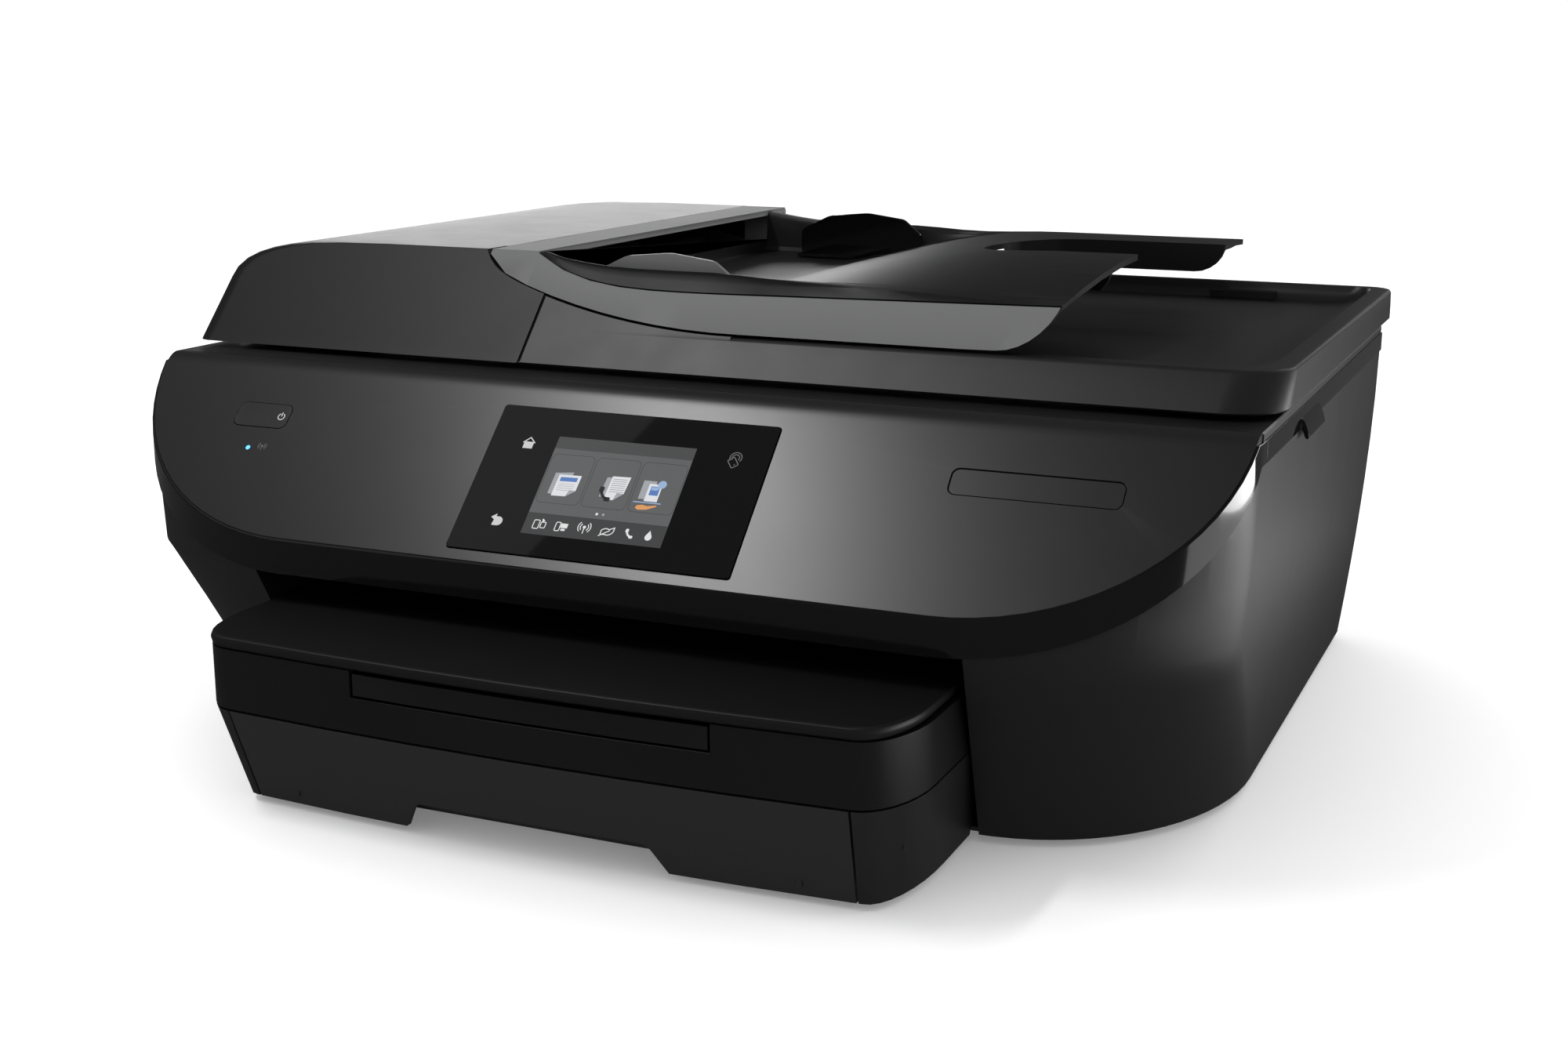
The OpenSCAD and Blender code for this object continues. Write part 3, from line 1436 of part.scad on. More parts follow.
lower_housing();
base_pan();
tray_bay_left();
tray_bay_right();
output_tray();
rubber_feet();
rear_cover();
power_inlet();
rear_ports();
main_board();
mechanism_deck();
carriage_rail();
carriage_rod();
platen();
service_station();
carriage_belt();
encoder_strip();
motor_pulley();
idler_pulley();
drive_motors();
feed_roller();
idler_gear();
exit_roller();
motor_pinion();
hinge_brackets();
main_tray();
main_tray_front();
width_guide_left();
width_guide_right();
length_guide();
photo_tray();
photo_guide_left();
photo_guide_right();
tray_extender();
extender_stop();
carriage();
black_cartridge();
colour_cartridge();
scanner_base();
scanner_top();
scanner_glass();
scan_bar();
scan_rod();
control_panel();
gloss_band();
side_trim_left();
side_trim_right();
touch_glass();
power_button();
lid_hinges();
lid_shell();
lid_backing();
feeder_base();
feeder_tray();
feeder_accent();
feeder_guide_front();
feeder_guide_back();
feeder_pick_roller();
feeder_drum();
feeder_cover();
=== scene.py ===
"""Looks of the inkjet printer: materials, printed marks, display, floor, light and camera."""

import math

import bmesh
import bpy
from mathutils import Matrix, Vector


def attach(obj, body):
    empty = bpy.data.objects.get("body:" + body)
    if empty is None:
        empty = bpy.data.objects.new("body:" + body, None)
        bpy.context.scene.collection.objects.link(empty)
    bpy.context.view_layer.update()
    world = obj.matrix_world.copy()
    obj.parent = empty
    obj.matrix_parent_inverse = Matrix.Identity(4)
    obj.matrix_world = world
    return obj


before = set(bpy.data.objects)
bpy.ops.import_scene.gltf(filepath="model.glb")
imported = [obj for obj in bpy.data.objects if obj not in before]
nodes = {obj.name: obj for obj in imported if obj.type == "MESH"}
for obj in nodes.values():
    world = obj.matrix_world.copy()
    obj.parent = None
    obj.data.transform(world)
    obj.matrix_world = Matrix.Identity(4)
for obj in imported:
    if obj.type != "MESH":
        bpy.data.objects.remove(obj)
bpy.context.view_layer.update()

# ---------------------------------------------------------------- materials

SLOW_SCALE = 55.0                       # noise that the roughness drifts with
WEAR_FROM, WEAR_FULL = 0.52, 0.62       # pointiness of an edge where wear starts and is full
WORN_GAIN, WORN_LIFT = 2.2, 0.02        # how much lighter a worn edge is
SMEAR_SCALE, LAMP_SCALE = 35.0, 420.0   # noise on clear sheets and on lit marks
SMEAR_DARK, LAMP_DARK = 0.9, 0.94       # the darker end of their colours
CLEAR_SPECULAR = 0.6
LAMP_ROUGHNESS = (0.10, 0.14)
LAMP_BASE = (0.02, 0.02, 0.02, 1)


def new_material(name):
    mat = bpy.data.materials.new(name)
    mat.use_nodes = True
    tree = mat.node_tree
    return mat, tree, tree.nodes["Principled BSDF"]


def object_coord(tree):
    return tree.nodes.new("ShaderNodeTexCoord").outputs["Object"]


def noise(tree, coord, scale, detail, rough):
    node = tree.nodes.new("ShaderNodeTexNoise")
    node.inputs["Scale"].default_value = scale
    node.inputs["Detail"].default_value = detail
    node.inputs["Roughness"].default_value = rough
    tree.links.new(coord, node.inputs["Vector"])
    return node.outputs["Fac"]


def ramp(tree, fac, low, high, from_low=0.3, from_high=0.7):
    """A value brought from one range into another; the defaults are where noise mostly lies."""
    node = tree.nodes.new("ShaderNodeMapRange")
    node.inputs["From Min"].default_value = from_low
    node.inputs["From Max"].default_value = from_high
    node.inputs["To Min"].default_value = low
    node.inputs["To Max"].default_value = high
    tree.links.new(fac, node.inputs["Value"])
    return node.outputs["Result"]


def tint(tree, fac, first, second):
    """A mix of two colours. The first may also be the output of another node."""
    node = tree.nodes.new("ShaderNodeMix")
    node.data_type = "RGBA"
    if isinstance(first, tuple):
        node.inputs["A"].default_value = (*first, 1)
    else:
        tree.links.new(first, node.inputs["A"])
    node.inputs["B"].default_value = (*second, 1)
    tree.links.new(fac, node.inputs["Factor"])
    return node.outputs["Result"]


def bump(tree, bsdf, fac, strength, distance):
    node = tree.nodes.new("ShaderNodeBump")
    node.inputs["Strength"].default_value = strength
    node.inputs["Distance"].default_value = distance
    tree.links.new(fac, node.inputs["Height"])
    tree.links.new(node.outputs["Normal"], bsdf.inputs["Normal"])


def surface(name, base, roughness, grain, vary, specular,
            metallic=0.0, coat=0.0, coat_rough=0.03, wear=0.0):
    """A moulded, metal or printed surface.

    roughness is its middle and its slow drift either way; grain is the scale, the depth in
    metres and the strength of the fine relief; vary is how far the colour changes with the
    grain; wear lightens the edges.
    """
    middle, drift = roughness
    scale, depth, strength = grain
    mat, tree, bsdf = new_material(name)
    coord = object_coord(tree)
    slow = noise(tree, coord, SLOW_SCALE, 3.0, 0.55)
    fine = noise(tree, coord, scale, 2.0, 0.6)
    dark = tuple(c * (1 - vary) for c in base)
    light = tuple(c * (1 + vary) for c in base)
    colour = tint(tree, fine, dark, light)
    if wear:
        geometry = tree.nodes.new("ShaderNodeNewGeometry")
        edge = ramp(tree, geometry.outputs["Pointiness"], 0.0, wear, WEAR_FROM, WEAR_FULL)
        worn = tuple(min(1, c * WORN_GAIN + WORN_LIFT) for c in base)
        colour = tint(tree, edge, colour, worn)
    tree.links.new(colour, bsdf.inputs["Base Color"])
    tree.links.new(ramp(tree, slow, middle - drift, middle + drift), bsdf.inputs["Roughness"])
    bsdf.inputs["Metallic"].default_value = metallic
    bsdf.inputs["Specular IOR Level"].default_value = specular
    bsdf.inputs["Coat Weight"].default_value = coat
    bsdf.inputs["Coat Roughness"].default_value = coat_rough
    if depth:
        bump(tree, bsdf, fine, strength, depth)
    return mat


def see_through(name, colour, rough, alpha):
    """Thin glass or film, faintly soiled."""
    mat, tree, bsdf = new_material(name)
    smear = noise(tree, object_coord(tree), SMEAR_SCALE, 4.0, 0.6)
    soiled = tuple(c * SMEAR_DARK for c in colour)
    tree.links.new(tint(tree, smear, soiled, colour), bsdf.inputs["Base Color"])
    tree.links.new(ramp(tree, smear, rough, rough * 3), bsdf.inputs["Roughness"])
    bsdf.inputs["Alpha"].default_value = alpha
    bsdf.inputs["Specular IOR Level"].default_value = CLEAR_SPECULAR
    return mat


def lamp(name, colour, power):
    """A lit mark or a piece of the display, a little uneven."""
    mat, tree, bsdf = new_material(name)
    fac = noise(tree, object_coord(tree), LAMP_SCALE, 2.0, 0.5)
    dim = tuple(c * LAMP_DARK for c in colour)
    tree.links.new(tint(tree, fac, dim, colour), bsdf.inputs["Emission Color"])
    bsdf.inputs["Base Color"].default_value = LAMP_BASE
    tree.links.new(ramp(tree, fac, *LAMP_ROUGHNESS), bsdf.inputs["Roughness"])
    bsdf.inputs["Emission Strength"].default_value = power
    return mat


# Each row: name, base colour, roughness, grain, change of colour, specular level
materials = {
    # Outer plastics and the touch glass
    "black": surface("satin_black", (0.0085, 0.0085, 0.0088), (0.42, 0.012),
                     (2400, 0.00003, 0.5), 0.22, 0.5, wear=0.25),
    "panel": surface("panel_black", (0.0080, 0.0080, 0.0083), (0.295, 0.004),
                     (2400, 0.00002, 0.4), 0.25, 0.55, wear=0.2),
    "plate": surface("plate_black", (0.006, 0.006, 0.0062), (0.46, 0.015),
                     (2400, 0.00003, 0.4), 0.2, 0.35, wear=0.2),
    "fascia": surface("fascia_black", (0.0042, 0.0042, 0.0044), (0.40, 0.012),
                      (2400, 0.00003, 0.45), 0.2, 0.4, wear=0.2),
    "dark": surface("inner_plastic", (0.014, 0.014, 0.015), (0.5, 0.05),
                    (1400, 0.00002, 0.3), 0.15, 0.4),
    "gloss": surface("gloss_black", (0.0025, 0.0025, 0.0026), (0.09, 0.02),
                     (400, 0.000004, 0.12), 0.1, 0.5, coat=0.6, coat_rough=0.04),
    "glass": surface("screen_glass", (0.004, 0.004, 0.0044), (0.035, 0.008),
                     (300, 0.000001, 0.05), 0.1, 0.5, coat=0.5, coat_rough=0.02),
    "grey": surface("light_trim", (0.125, 0.126, 0.128), (0.58, 0.008),
                    (2400, 0.00002, 0.4), 0.08, 0.25),
    "guide": surface("guide_grey", (0.13, 0.131, 0.133), (0.40, 0.02),
                     (1800, 0.00002, 0.3), 0.12, 0.5),
    # Inside and underneath
    "white": surface("acetal_white", (0.72, 0.71, 0.67), (0.45, 0.05),
                     (900, 0.00002, 0.2), 0.03, 0.4),
    "foam": surface("backing_white", (0.78, 0.78, 0.76), (0.6, 0.05),
                    (700, 0.00003, 0.3), 0.02, 0.3),
    "board": surface("board_green", (0.012, 0.075, 0.03), (0.4, 0.08),
                     (900, 0.00004, 0.5), 0.3, 0.5),
    "zinc": surface("zinc_steel", (0.46, 0.47, 0.48), (0.32, 0.08),
                    (500, 0.00001, 0.3), 0.08, 0.5, metallic=1.0),
    "steel": surface("bright_steel", (0.62, 0.63, 0.64), (0.16, 0.04),
                     (700, 0.000004, 0.2), 0.04, 0.5, metallic=1.0),
    "rubber": surface("soft_rubber", (0.018, 0.018, 0.018), (0.75, 0.06),
                      (1500, 0.00004, 0.5), 0.2, 0.25),
    "belt": surface("belt_black", (0.010, 0.010, 0.010), (0.7, 0.05),
                    (1200, 0.00004, 0.5), 0.2, 0.25),
    # The feeder's cover and tray, then small parts
    "cover": surface("cover_black", (0.0065, 0.0065, 0.0068), (0.42, 0.012),
                     (2400, 0.00003, 0.5), 0.22, 0.32, wear=0.25),
    # The feeder tray's own black plastic, made darker than the other black parts as painted shade
    # for its deep well
    "tray": surface("tray_black_shaded", (0.0038, 0.0038, 0.0040), (0.44, 0.008),
                    (2400, 0.00002, 0.4), 0.22, 0.32, wear=0.2),
    "ink": surface("cartridge_black", (0.012, 0.012, 0.013), (0.38, 0.05),
                   (1200, 0.00002, 0.3), 0.15, 0.5),
    "ports": surface("port_grey", (0.10, 0.102, 0.105), (0.5, 0.05),
                     (1200, 0.00002, 0.3), 0.1, 0.4),
    "clear": see_through("flatbed_glass", (0.35, 0.42, 0.43), 0.02, 0.35),
    "film": see_through("encoder_film", (0.5, 0.52, 0.52), 0.08, 0.5),
}

looks = {
    "black": ["lower_housing", "tray_bay_left", "tray_bay_right", "rear_cover", "main_tray",
              "main_tray_front", "extender_stop", "scanner_top", "lid_shell"],
    "panel": ["control_panel", "power_button"],
    "plate": ["output_tray"],
    "fascia": ["photo_tray", "tray_extender"],
    "dark": ["base_pan", "power_inlet", "mechanism_deck", "platen", "service_station",
             "exit_roller", "carriage", "scanner_base", "scan_bar", "lid_hinges", "feeder_base"],
    "gloss": ["gloss_band", "side_trim_left", "side_trim_right", "feeder_guide_back"],
    "glass": ["touch_glass"],
    "grey": ["feeder_accent"],
    "guide": ["width_guide_left", "width_guide_right", "length_guide", "photo_guide_left",
              "photo_guide_right", "feeder_guide_front"],
    "white": ["motor_pulley", "idler_pulley", "idler_gear", "motor_pinion"],
    "foam": ["lid_backing"],
    "board": ["main_board"],
    "zinc": ["carriage_rail", "drive_motors", "hinge_brackets"],
    "steel": ["carriage_rod", "feed_roller", "scan_rod"],
    "rubber": ["rubber_feet", "feeder_pick_roller", "feeder_drum"],
    "belt": ["carriage_belt"],
    "cover": ["feeder_cover"],
    "tray": ["feeder_tray"],
    "ink": ["black_cartridge", "colour_cartridge"],
    "ports": ["rear_ports"],
    "clear": ["scanner_glass"],
    "film": ["encoder_strip"],
}
for look, names in looks.items():
    for name in names:
        nodes[name].data.materials.clear()
        nodes[name].data.materials.append(materials[look])

# ---------------------------------------------------------------- edges

WELD_DISTANCE = 0.000005
EDGE_ANGLE = 32.0                       # degrees; sharper edges than this get a radius
COMMON_RADIUS = 0.0002                  # metres, for the pieces not named below
larger_radii = {
    0.0003: ["control_panel", "tray_extender", "feeder_accent", "touch_glass", "power_button"],
    0.0004: ["lower_housing", "gloss_band", "output_tray", "tray_bay_left", "tray_bay_right",
             "main_tray_front", "lid_shell", "feeder_cover", "side_trim_left",
             "side_trim_right", "scanner_top"],
    0.0005: ["feeder_tray"],
}
radius_of = {name: radius for radius, names in larger_radii.items() for name in names}


def soften(obj, width):
    """Joined faces, a small moulded radius on sharp edges, and normals that keep flats flat."""
    obj.data.shade_smooth()
    weld = obj.modifiers.new("joined_faces", "WELD")
    weld.merge_threshold = WELD_DISTANCE
    bevel = obj.modifiers.new("edge_radius", "BEVEL")
    bevel.width = width
    bevel.segments = 2
    bevel.limit_method = "ANGLE"
    bevel.angle_limit = math.radians(EDGE_ANGLE)
    bevel.use_clamp_overlap = True
    flat = obj.modifiers.new("flat_faces", "WEIGHTED_NORMAL")
    flat.mode = "FACE_AREA"
    flat.weight = 100
    flat.keep_sharp = True


for name, obj in nodes.items():
    soften(obj, radius_of.get(name, COMMON_RADIUS))

# ---------------------------------------------------------------- pieces added in mesh code

PANEL_Y, PANEL_Z = -0.13099, 0.1178     # a point on the panel's face; it leans by 45 degrees
SLOPE = math.sqrt(0.5)
LID_LEAN = 0.9175                       # metres back for each metre up, on the lid's front
LID_FRONT_Y = -0.0800 - LID_LEAN * 0.1525


def on_panel(x, s, n):
    """A point in millimetres on the control panel: across, up the slope and out of the face."""
    x, s, n = x / 1000, s / 1000, n / 1000
    return Vector((x, PANEL_Y + SLOPE * s - SLOPE * n, PANEL_Z + SLOPE * s + SLOPE * n))


def on_lid_front(x, z, n):
    """A point in millimetres on the lid's sloping front: across, up and out of the face."""
    return Vector((x / 1000, LID_FRONT_Y + LID_LEAN * z / 1000 - n / 1000, z / 1000))


panel_pieces = []


def plate(name, loops, layer, mat, body, place=on_panel):
    """Flat closed pieces: each loop is an outline in millimetres, solid between two heights."""
    bm = bmesh.new()
    for loop in loops:
        low, high = [[bm.verts.new(place(x, y, n)) for x, y in loop] for n in layer]
        bm.faces.new(high)
        bm.faces.new(low[::-1])
        for i in range(len(loop)):
            j = (i + 1) % len(loop)
            bm.faces.new((low[i], low[j], high[j], high[i]))
    bmesh.ops.triangulate(bm, faces=[f for f in bm.faces if len(f.verts) > 4])
    bmesh.ops.recalc_face_normals(bm, faces=bm.faces)
    mesh = bpy.data.meshes.new(name)
    bm.to_mesh(mesh)
    bm.free()
    mesh.materials.append(mat)
    obj = bpy.data.objects.new(name, mesh)
    bpy.context.scene.collection.objects.link(obj)
    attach(obj, body)
    if place is on_panel:
        panel_pieces.append(obj)


def arc(cx, cy, r, a0, a1, n):
    """Points on a circle from one angle to another, in degrees and n steps."""
    return [(cx + r * math.cos(math.radians(a0 + (a1 - a0) * i / n)),
             cy + r * math.sin(math.radians(a0 + (a1 - a0) * i / n))) for i in range(n + 1)]


def disc(cx, cy, r, n):
    return arc(cx, cy, r, 0, 360, n)[:-1]


def box(x0, y0, x1, y1):
    return [(x0, y0), (x1, y0), (x1, y1), (x0, y1)]


def round_box(x0, y0, x1, y1, r, n):
    return (arc(x1 - r, y0 + r, r, -90, 0, n) + arc(x1 - r, y1 - r, r, 0, 90, n)
            + arc(x0 + r, y1 - r, r, 90, 180, n) + arc(x0 + r, y0 + r, r, 180, 270, n))


MITRE_LIMIT = 0.35                      # keeps the corners of a line from running out to points
SAME_POINT, NO_TURN = 1e-9, 1e-6


def stroke(path, width, closed=False):
    """A line of even width along a path: one outline, or one for each side of a closed path."""
    count = len(path)
    left, right = [], []
    for i in range(count):
        before = Vector(path[i - 1] if (i > 0 or closed) else path[i])
        here = Vector(path[i])
        after = Vector(path[(i + 1) % count] if (i < count - 1 or closed) else path[i])
        step_in, step_out = here - before, after - here
        way_in = (step_in if step_in.length > SAME_POINT else step_out).normalized()
        way_out = step_out.normalized() if step_out.length > SAME_POINT else way_in
        along = way_in + way_out
        along = along.normalized() if along.length > NO_TURN else way_in
        across = Vector((-along.y, along.x))
        reach = width / 2 / max(MITRE_LIMIT, abs(along.dot(way_in)))
        left.append((here + across * reach)[:])
        right.append((here - across * reach)[:])
    if not closed:
        return [right + left[::-1]]
    return [[right[i], right[(i + 1) % count], left[(i + 1) % count], left[i]]
            for i in range(count)]


def moved(loops, dx, dy, scale, turn=0.0):
    c, s = math.cos(math.radians(turn)), math.sin(math.radians(turn))
    return [[(dx + scale * (x * c - y * s), dy + scale * (x * s + y * c)) for x, y in loop]
            for loop in loops]


def placed(rows):
    """Icons given as rows of outlines, place across and up the panel, and scale."""
    return [loop for row in rows for loop in moved(*row)]


NO_RELIEF = (1600, 0, 0)
GREY_PRINT = surface("print_grey", (0.16, 0.16, 0.16), (0.5, 0.05), NO_RELIEF, 0.1, 0.3)
KEY_LIGHT = lamp("key_light", (0.80, 0.80, 0.80), 0.75)
ICON_LIGHT = lamp("icon_light", (0.85, 0.85, 0.86), 0.9)
SCREEN = lamp("screen_grey", (0.125, 0.127, 0.13), 0.85)
SCREEN_TOP = lamp("screen_top_bar", (0.07, 0.071, 0.073), 0.85)
SCREEN_LOW = lamp("screen_low_bar", (0.05, 0.051, 0.053), 0.85)
TILE_LINE = lamp("tile_line", (0.06, 0.061, 0.063), 0.85)
PAPER = lamp("screen_paper", (0.82, 0.83, 0.86), 0.9)
PAPER_SHADE = lamp("screen_paper_shade", (0.42, 0.44, 0.47), 0.85)
PICTURE = lamp("screen_blue", (0.10, 0.22, 0.55), 0.9)
PICTURE_SKY = lamp("screen_sky", (0.35, 0.50, 0.75), 0.9)
SKIN = lamp("screen_orange", (0.80, 0.36, 0.13), 0.9)
DARK_SHAPE = lamp("screen_black", (0.02, 0.02, 0.021), 0.8)

# Heights in millimetres above the panel's face, lowest and highest of each layer
GLASS = 0.70
PRINT_LAYER = (GLASS + 0.01, GLASS + 0.05)
SCREEN_LAYER = (GLASS + 0.005, GLASS + 0.03)
BAR_LAYER = (GLASS + 0.03, GLASS + 0.05)
ICON_LAYER = (GLASS + 0.05, GLASS + 0.08)
PAGE_BACK_LAYER = (GLASS + 0.05, GLASS + 0.07)
PAGE_LAYER = (GLASS + 0.07, GLASS + 0.09)
PAGE_PRINT_LAYER = (GLASS + 0.09, GLASS + 0.10)
SKY_LAYER = (GLASS + 0.10, GLASS + 0.11)
HANDSET_LAYER = (GLASS + 0.10, GLASS + 0.12)
FIELD_EDGE_LAYER = (-0.295, -0.24)
SEAM_SHADE_LAYER = (-0.02, 0.04)
POWER_MARK_LAYER = (0.16, 0.2)
WIRELESS_MARK_LAYER = (0.01, 0.05)
LIGHT_PIPE_LAYER = (-1.2, -0.05)

# Widths of the icons' lines, in the icons' own millimetres
FINE_LINE, LINE, TOUCH_LINE, BOLD_LINE = 0.34, 0.4, 0.42, 0.55
BEND_LINE, HANDSET_LINE = 0.85, 1.0


def icon_home():
    roof = stroke([(-3.2, 0.1), (0, 3.1), (3.2, 0.1)], BOLD_LINE)
    walls = stroke([(-2.3, 0.7), (-2.3, -2.8), (2.3, -2.8), (2.3, 0.7)], BOLD_LINE)
    return roof + walls + [box(-0.1, -2.6, 1.3, -0.7)]


def icon_back():
    head = [[(-3.3, 1.3), (-0.6, 3.3), (-0.6, -0.5)]]
    path = [(-1.0, 1.4), (1.0, 1.4)] + arc(1.0, -0.6, 2.0, 90, -90, 12) + [(-1.6, -2.6)]
    return head + stroke(path, BEND_LINE)


def icon_waves(width=LINE):
    loops = [disc(0, 0.6, 0.75, 14)] + stroke([(0, 0.2), (0, -2.6)], width)
    for r in (1.9, 3.0):
        loops += stroke(arc(0, 0.6, r, -48, 48, 10), width)
        loops += stroke(arc(0, 0.6, r, 132, 228, 10), width)
    return loops


def icon_touch():
    """A tilted handheld with two arcs over it."""
    body = stroke(round_box(-1.7, -2.4, 1.7, 2.4, 0.5, 3), TOUCH_LINE, True)
    waves = (stroke(arc(0.6, 1.3, 1.7, -35, 215, 14), TOUCH_LINE)
             + stroke(arc(0.6, 1.3, 2.8, -35, 215, 18), TOUCH_LINE))
    return moved(body, 0, -1.2, 1.0, 38) + [disc(0.9, -2.2, 0.28, 8)] + waves


def icon_power():
    return stroke(arc(0, 0, 2.0, 118, 422, 26), BOLD_LINE) + stroke([(0, 0.2), (0, 2.7)], BOLD_LINE)


def icon_phone():
    return (stroke(arc(1.6, 1.8, 3.6, 190, 260, 10), HANDSET_LINE)
            + [round_box(-2.9, 0.6, -1.2, 2.7, 0.5, 3), round_box(-0.2, -2.6, 1.9, -1.0, 0.5, 3)])


def icon_drop():
    return [[(0, 3.0)] + arc(0, -0.7, 1.75, 25, -205, 18)]


def icon_leaf():
    blade = ([(-2.6, -1.6)] + arc(-0.6, -1.4, 2.6, 140, 60, 8)
             + [(2.8, 1.9)] + arc(0.3, 0.9, 2.6, -15, -110, 8))
    return stroke(blade, LINE, True) + stroke([(-3.2, -2.4), (1.2, 0.5)], LINE)


def icon_cards():
    return (stroke(round_box(-2.9, -2.2, -0.2, 2.0, 0.5, 3), LINE, True)
            + stroke(round_box(0.6, -1.6, 2.9, 1.2, 0.4, 3), LINE, True)
            + stroke([(0.8, 2.8), (1.8, 1.9), (0.9, 1.5)], LINE))


def icon_sheet():
    return (stroke(round_box(-2.8, -2.2, -0.6, 2.0, 0.5, 3), LINE, True)
            + [box(-0.3, -0.6, 2.9, 1.6), box(0.2, -2.0, 2.2, -1.0)])


# Key signs on the glass
plate("key_marks", placed([(icon_home(), -40.5, 17.2, 0.78), (icon_back(), -40.7, -16.9, 0.78)]),
      PRINT_LAYER, KEY_LIGHT, "scanner_unit")
plate("touch_mark", moved(icon_touch(), 43.4, 17.7, 0.82), PRINT_LAYER, GREY_PRINT, "scanner_unit")

# The display, on the glass: its ground, two bars, three tiles, two dots and a row of icons
LEFT, RIGHT, BOTTOM, TOP = -28.9, 27.7, -21.2, 21.2
TOP_BAR, LOW_BAR = 5.2, 9.0
TILE_WIDTH, TILE_BOTTOM, TILE_TOP = 17.9, -7.6, 13.6
TILE_CORNER, TILE_EDGE = 2.0, 0.22
plate("display", [round_box(LEFT, BOTTOM, RIGHT, TOP, 0.4, 3)], SCREEN_LAYER, SCREEN,
      "scanner_unit")
plate("display_top_bar", [box(LEFT, TOP - TOP_BAR, RIGHT, TOP)], BAR_LAYER, SCREEN_TOP,
      "scanner_unit")
plate("display_low_bar", [box(LEFT, BOTTOM, RIGHT, BOTTOM + LOW_BAR)], BAR_LAYER, SCREEN_LOW,
      "scanner_unit")
tiles = []
for x0 in (-28.4, -9.5, 9.4):
    tile = round_box(x0, TILE_BOTTOM, x0 + TILE_WIDTH, TILE_TOP, TILE_CORNER, 4)
    tiles += stroke(tile, TILE_EDGE, True)
plate("display_tiles", tiles, BAR_LAYER, TILE_LINE, "scanner_unit")
plate("display_dots", [disc(-1.6, -10.2, 0.55, 12)], BAR_LAYER, ICON_LIGHT, "scanner_unit")
plate("display_dots_idle", [disc(1.0, -10.2, 0.5, 12)], BAR_LAYER, PAPER_SHADE, "scanner_unit")
icons = placed([(icon_cards(), -22.6, -16.9, 0.85), (icon_sheet(), -13.6, -16.9, 0.85),
                (icon_waves(), -4.4, -16.6, 0.85), (icon_leaf(), 5.0, -16.8, 0.9),
                (icon_phone(), 14.2, -16.8, 0.72), (icon_drop(), 21.6, -16.9, 0.75)])
plate("display_icons", icons, ICON_LAYER, ICON_LIGHT, "scanner_unit")


def text_lines(bar, step, count):
    """Copies of one thin bar, down a page."""
    return [[(x, y - step * i) for x, y in bar] for i in range(count)]


# Three pictures on the tiles: copied pages, a page with a handset, a page held out on a hand
plate("page_backs",
      [[(-24.6, -3.6), (-18.4, -3.9), (-17.0, 6.2), (-24.4, 5.4)],
       [(-3.6, -2.8), (1.4, -2.8), (2.6, 5.6), (-3.0, 5.6)],
       box(12.0, -2.0, 17.2, 5.8)], PAGE_BACK_LAYER, PAPER_SHADE, "scanner_unit")
plate("page_fronts",
      [[(-22.8, -4.4), (-17.0, -4.2), (-13.6, -1.6), (-13.4, 5.0), (-22.6, 4.8)],
       [(-1.4, -3.6), (2.4, -3.8), (5.8, -0.8), (6.4, 6.4), (-1.0, 6.2)],
       box(14.6, -2.8, 19.8, 4.6)], PAGE_LAYER, PAPER, "scanner_unit")
plate("page_folds",
      [[(-17.0, -4.2), (-13.6, -1.6), (-16.2, -1.4)], [(2.4, -3.8), (5.8, -0.8), (3.0, -0.6)]],
      PAGE_PRINT_LAYER, PAPER_SHADE, "scanner_unit")
plate("page_headers",
      [[(-21.6, 2.0), (-14.6, 2.2), (-14.6, 4.0), (-21.6, 3.8)], box(15.6, -0.2, 19.2, 3.6)],
      PAGE_PRINT_LAYER, PICTURE, "scanner_unit")
plate("page_sky",
      [[(15.9, 2.0), (17.2, 2.9), (18.1, 1.9), (18.9, 2.5), (18.9, 3.3), (15.9, 3.3)],
       disc(19.6, 4.6, 1.7, 16)], SKY_LAYER, PICTURE_SKY, "scanner_unit")
plate("page_lines",
      text_lines([(-0.4, 5.2), (5.4, 5.3), (5.4, 5.0), (-0.4, 4.9)], 0.9, 7)
      + text_lines([(-21.6, 1.0), (-15.0, 1.1), (-15.0, 0.9), (-21.6, 0.8)], 0.9, 4)
      + text_lines(box(12.6, 4.8, 14.2, 4.6), 0.8, 6), PAGE_PRINT_LAYER, PAPER_SHADE,
      "scanner_unit")
plate("handset", moved(icon_phone(), -1.0, -1.6, 1.15), HANDSET_LAYER, DARK_SHAPE, "scanner_unit")
plate("counter_line", [box(10.6, -3.6, 21.6, -3.2)], PAGE_LAYER, PICTURE_SKY, "scanner_unit")
plate("hand",
      [[(12.6, -4.8), (14.6, -4.4), (16.6, -4.8), (20.2, -4.2), (20.4, -4.7), (16.8, -6.3),
        (13.4, -6.6), (12.2, -5.9)]], PAGE_LAYER, SKIN, "scanner_unit")

# Painted shadow: a fine dark line around the bare field on the right of the panel, just under the
# panel's face
FIELD_LINE = 0.4
SHADOW_LINE = surface("shadow_line", (0.0015, 0.0015, 0.0016), (0.7, 0.05), NO_RELIEF, 0.1, 0.1)
plate("field_edge_shadow", stroke(round_box(124.3, 12.7, 184.7, 23.3, 2.8, 6), FIELD_LINE, True),
      FIELD_EDGE_LAYER, SHADOW_LINE, "scanner_unit")

# Painted shadow beside the seam of the feeder cover: a dark strip down the sloping front of the lid
# that widens the seam's shade
SEAM_SHADOW = surface("seam_shadow_paint", (0.0012, 0.0012, 0.0013), (0.7, 0.05), NO_RELIEF, 0.1, 0.1)
plate("cover_seam_shadow", [box(-68.78, 153.5, -68.0, 176.9)], SEAM_SHADE_LAYER, SEAM_SHADOW, "lid",
      on_lid_front)

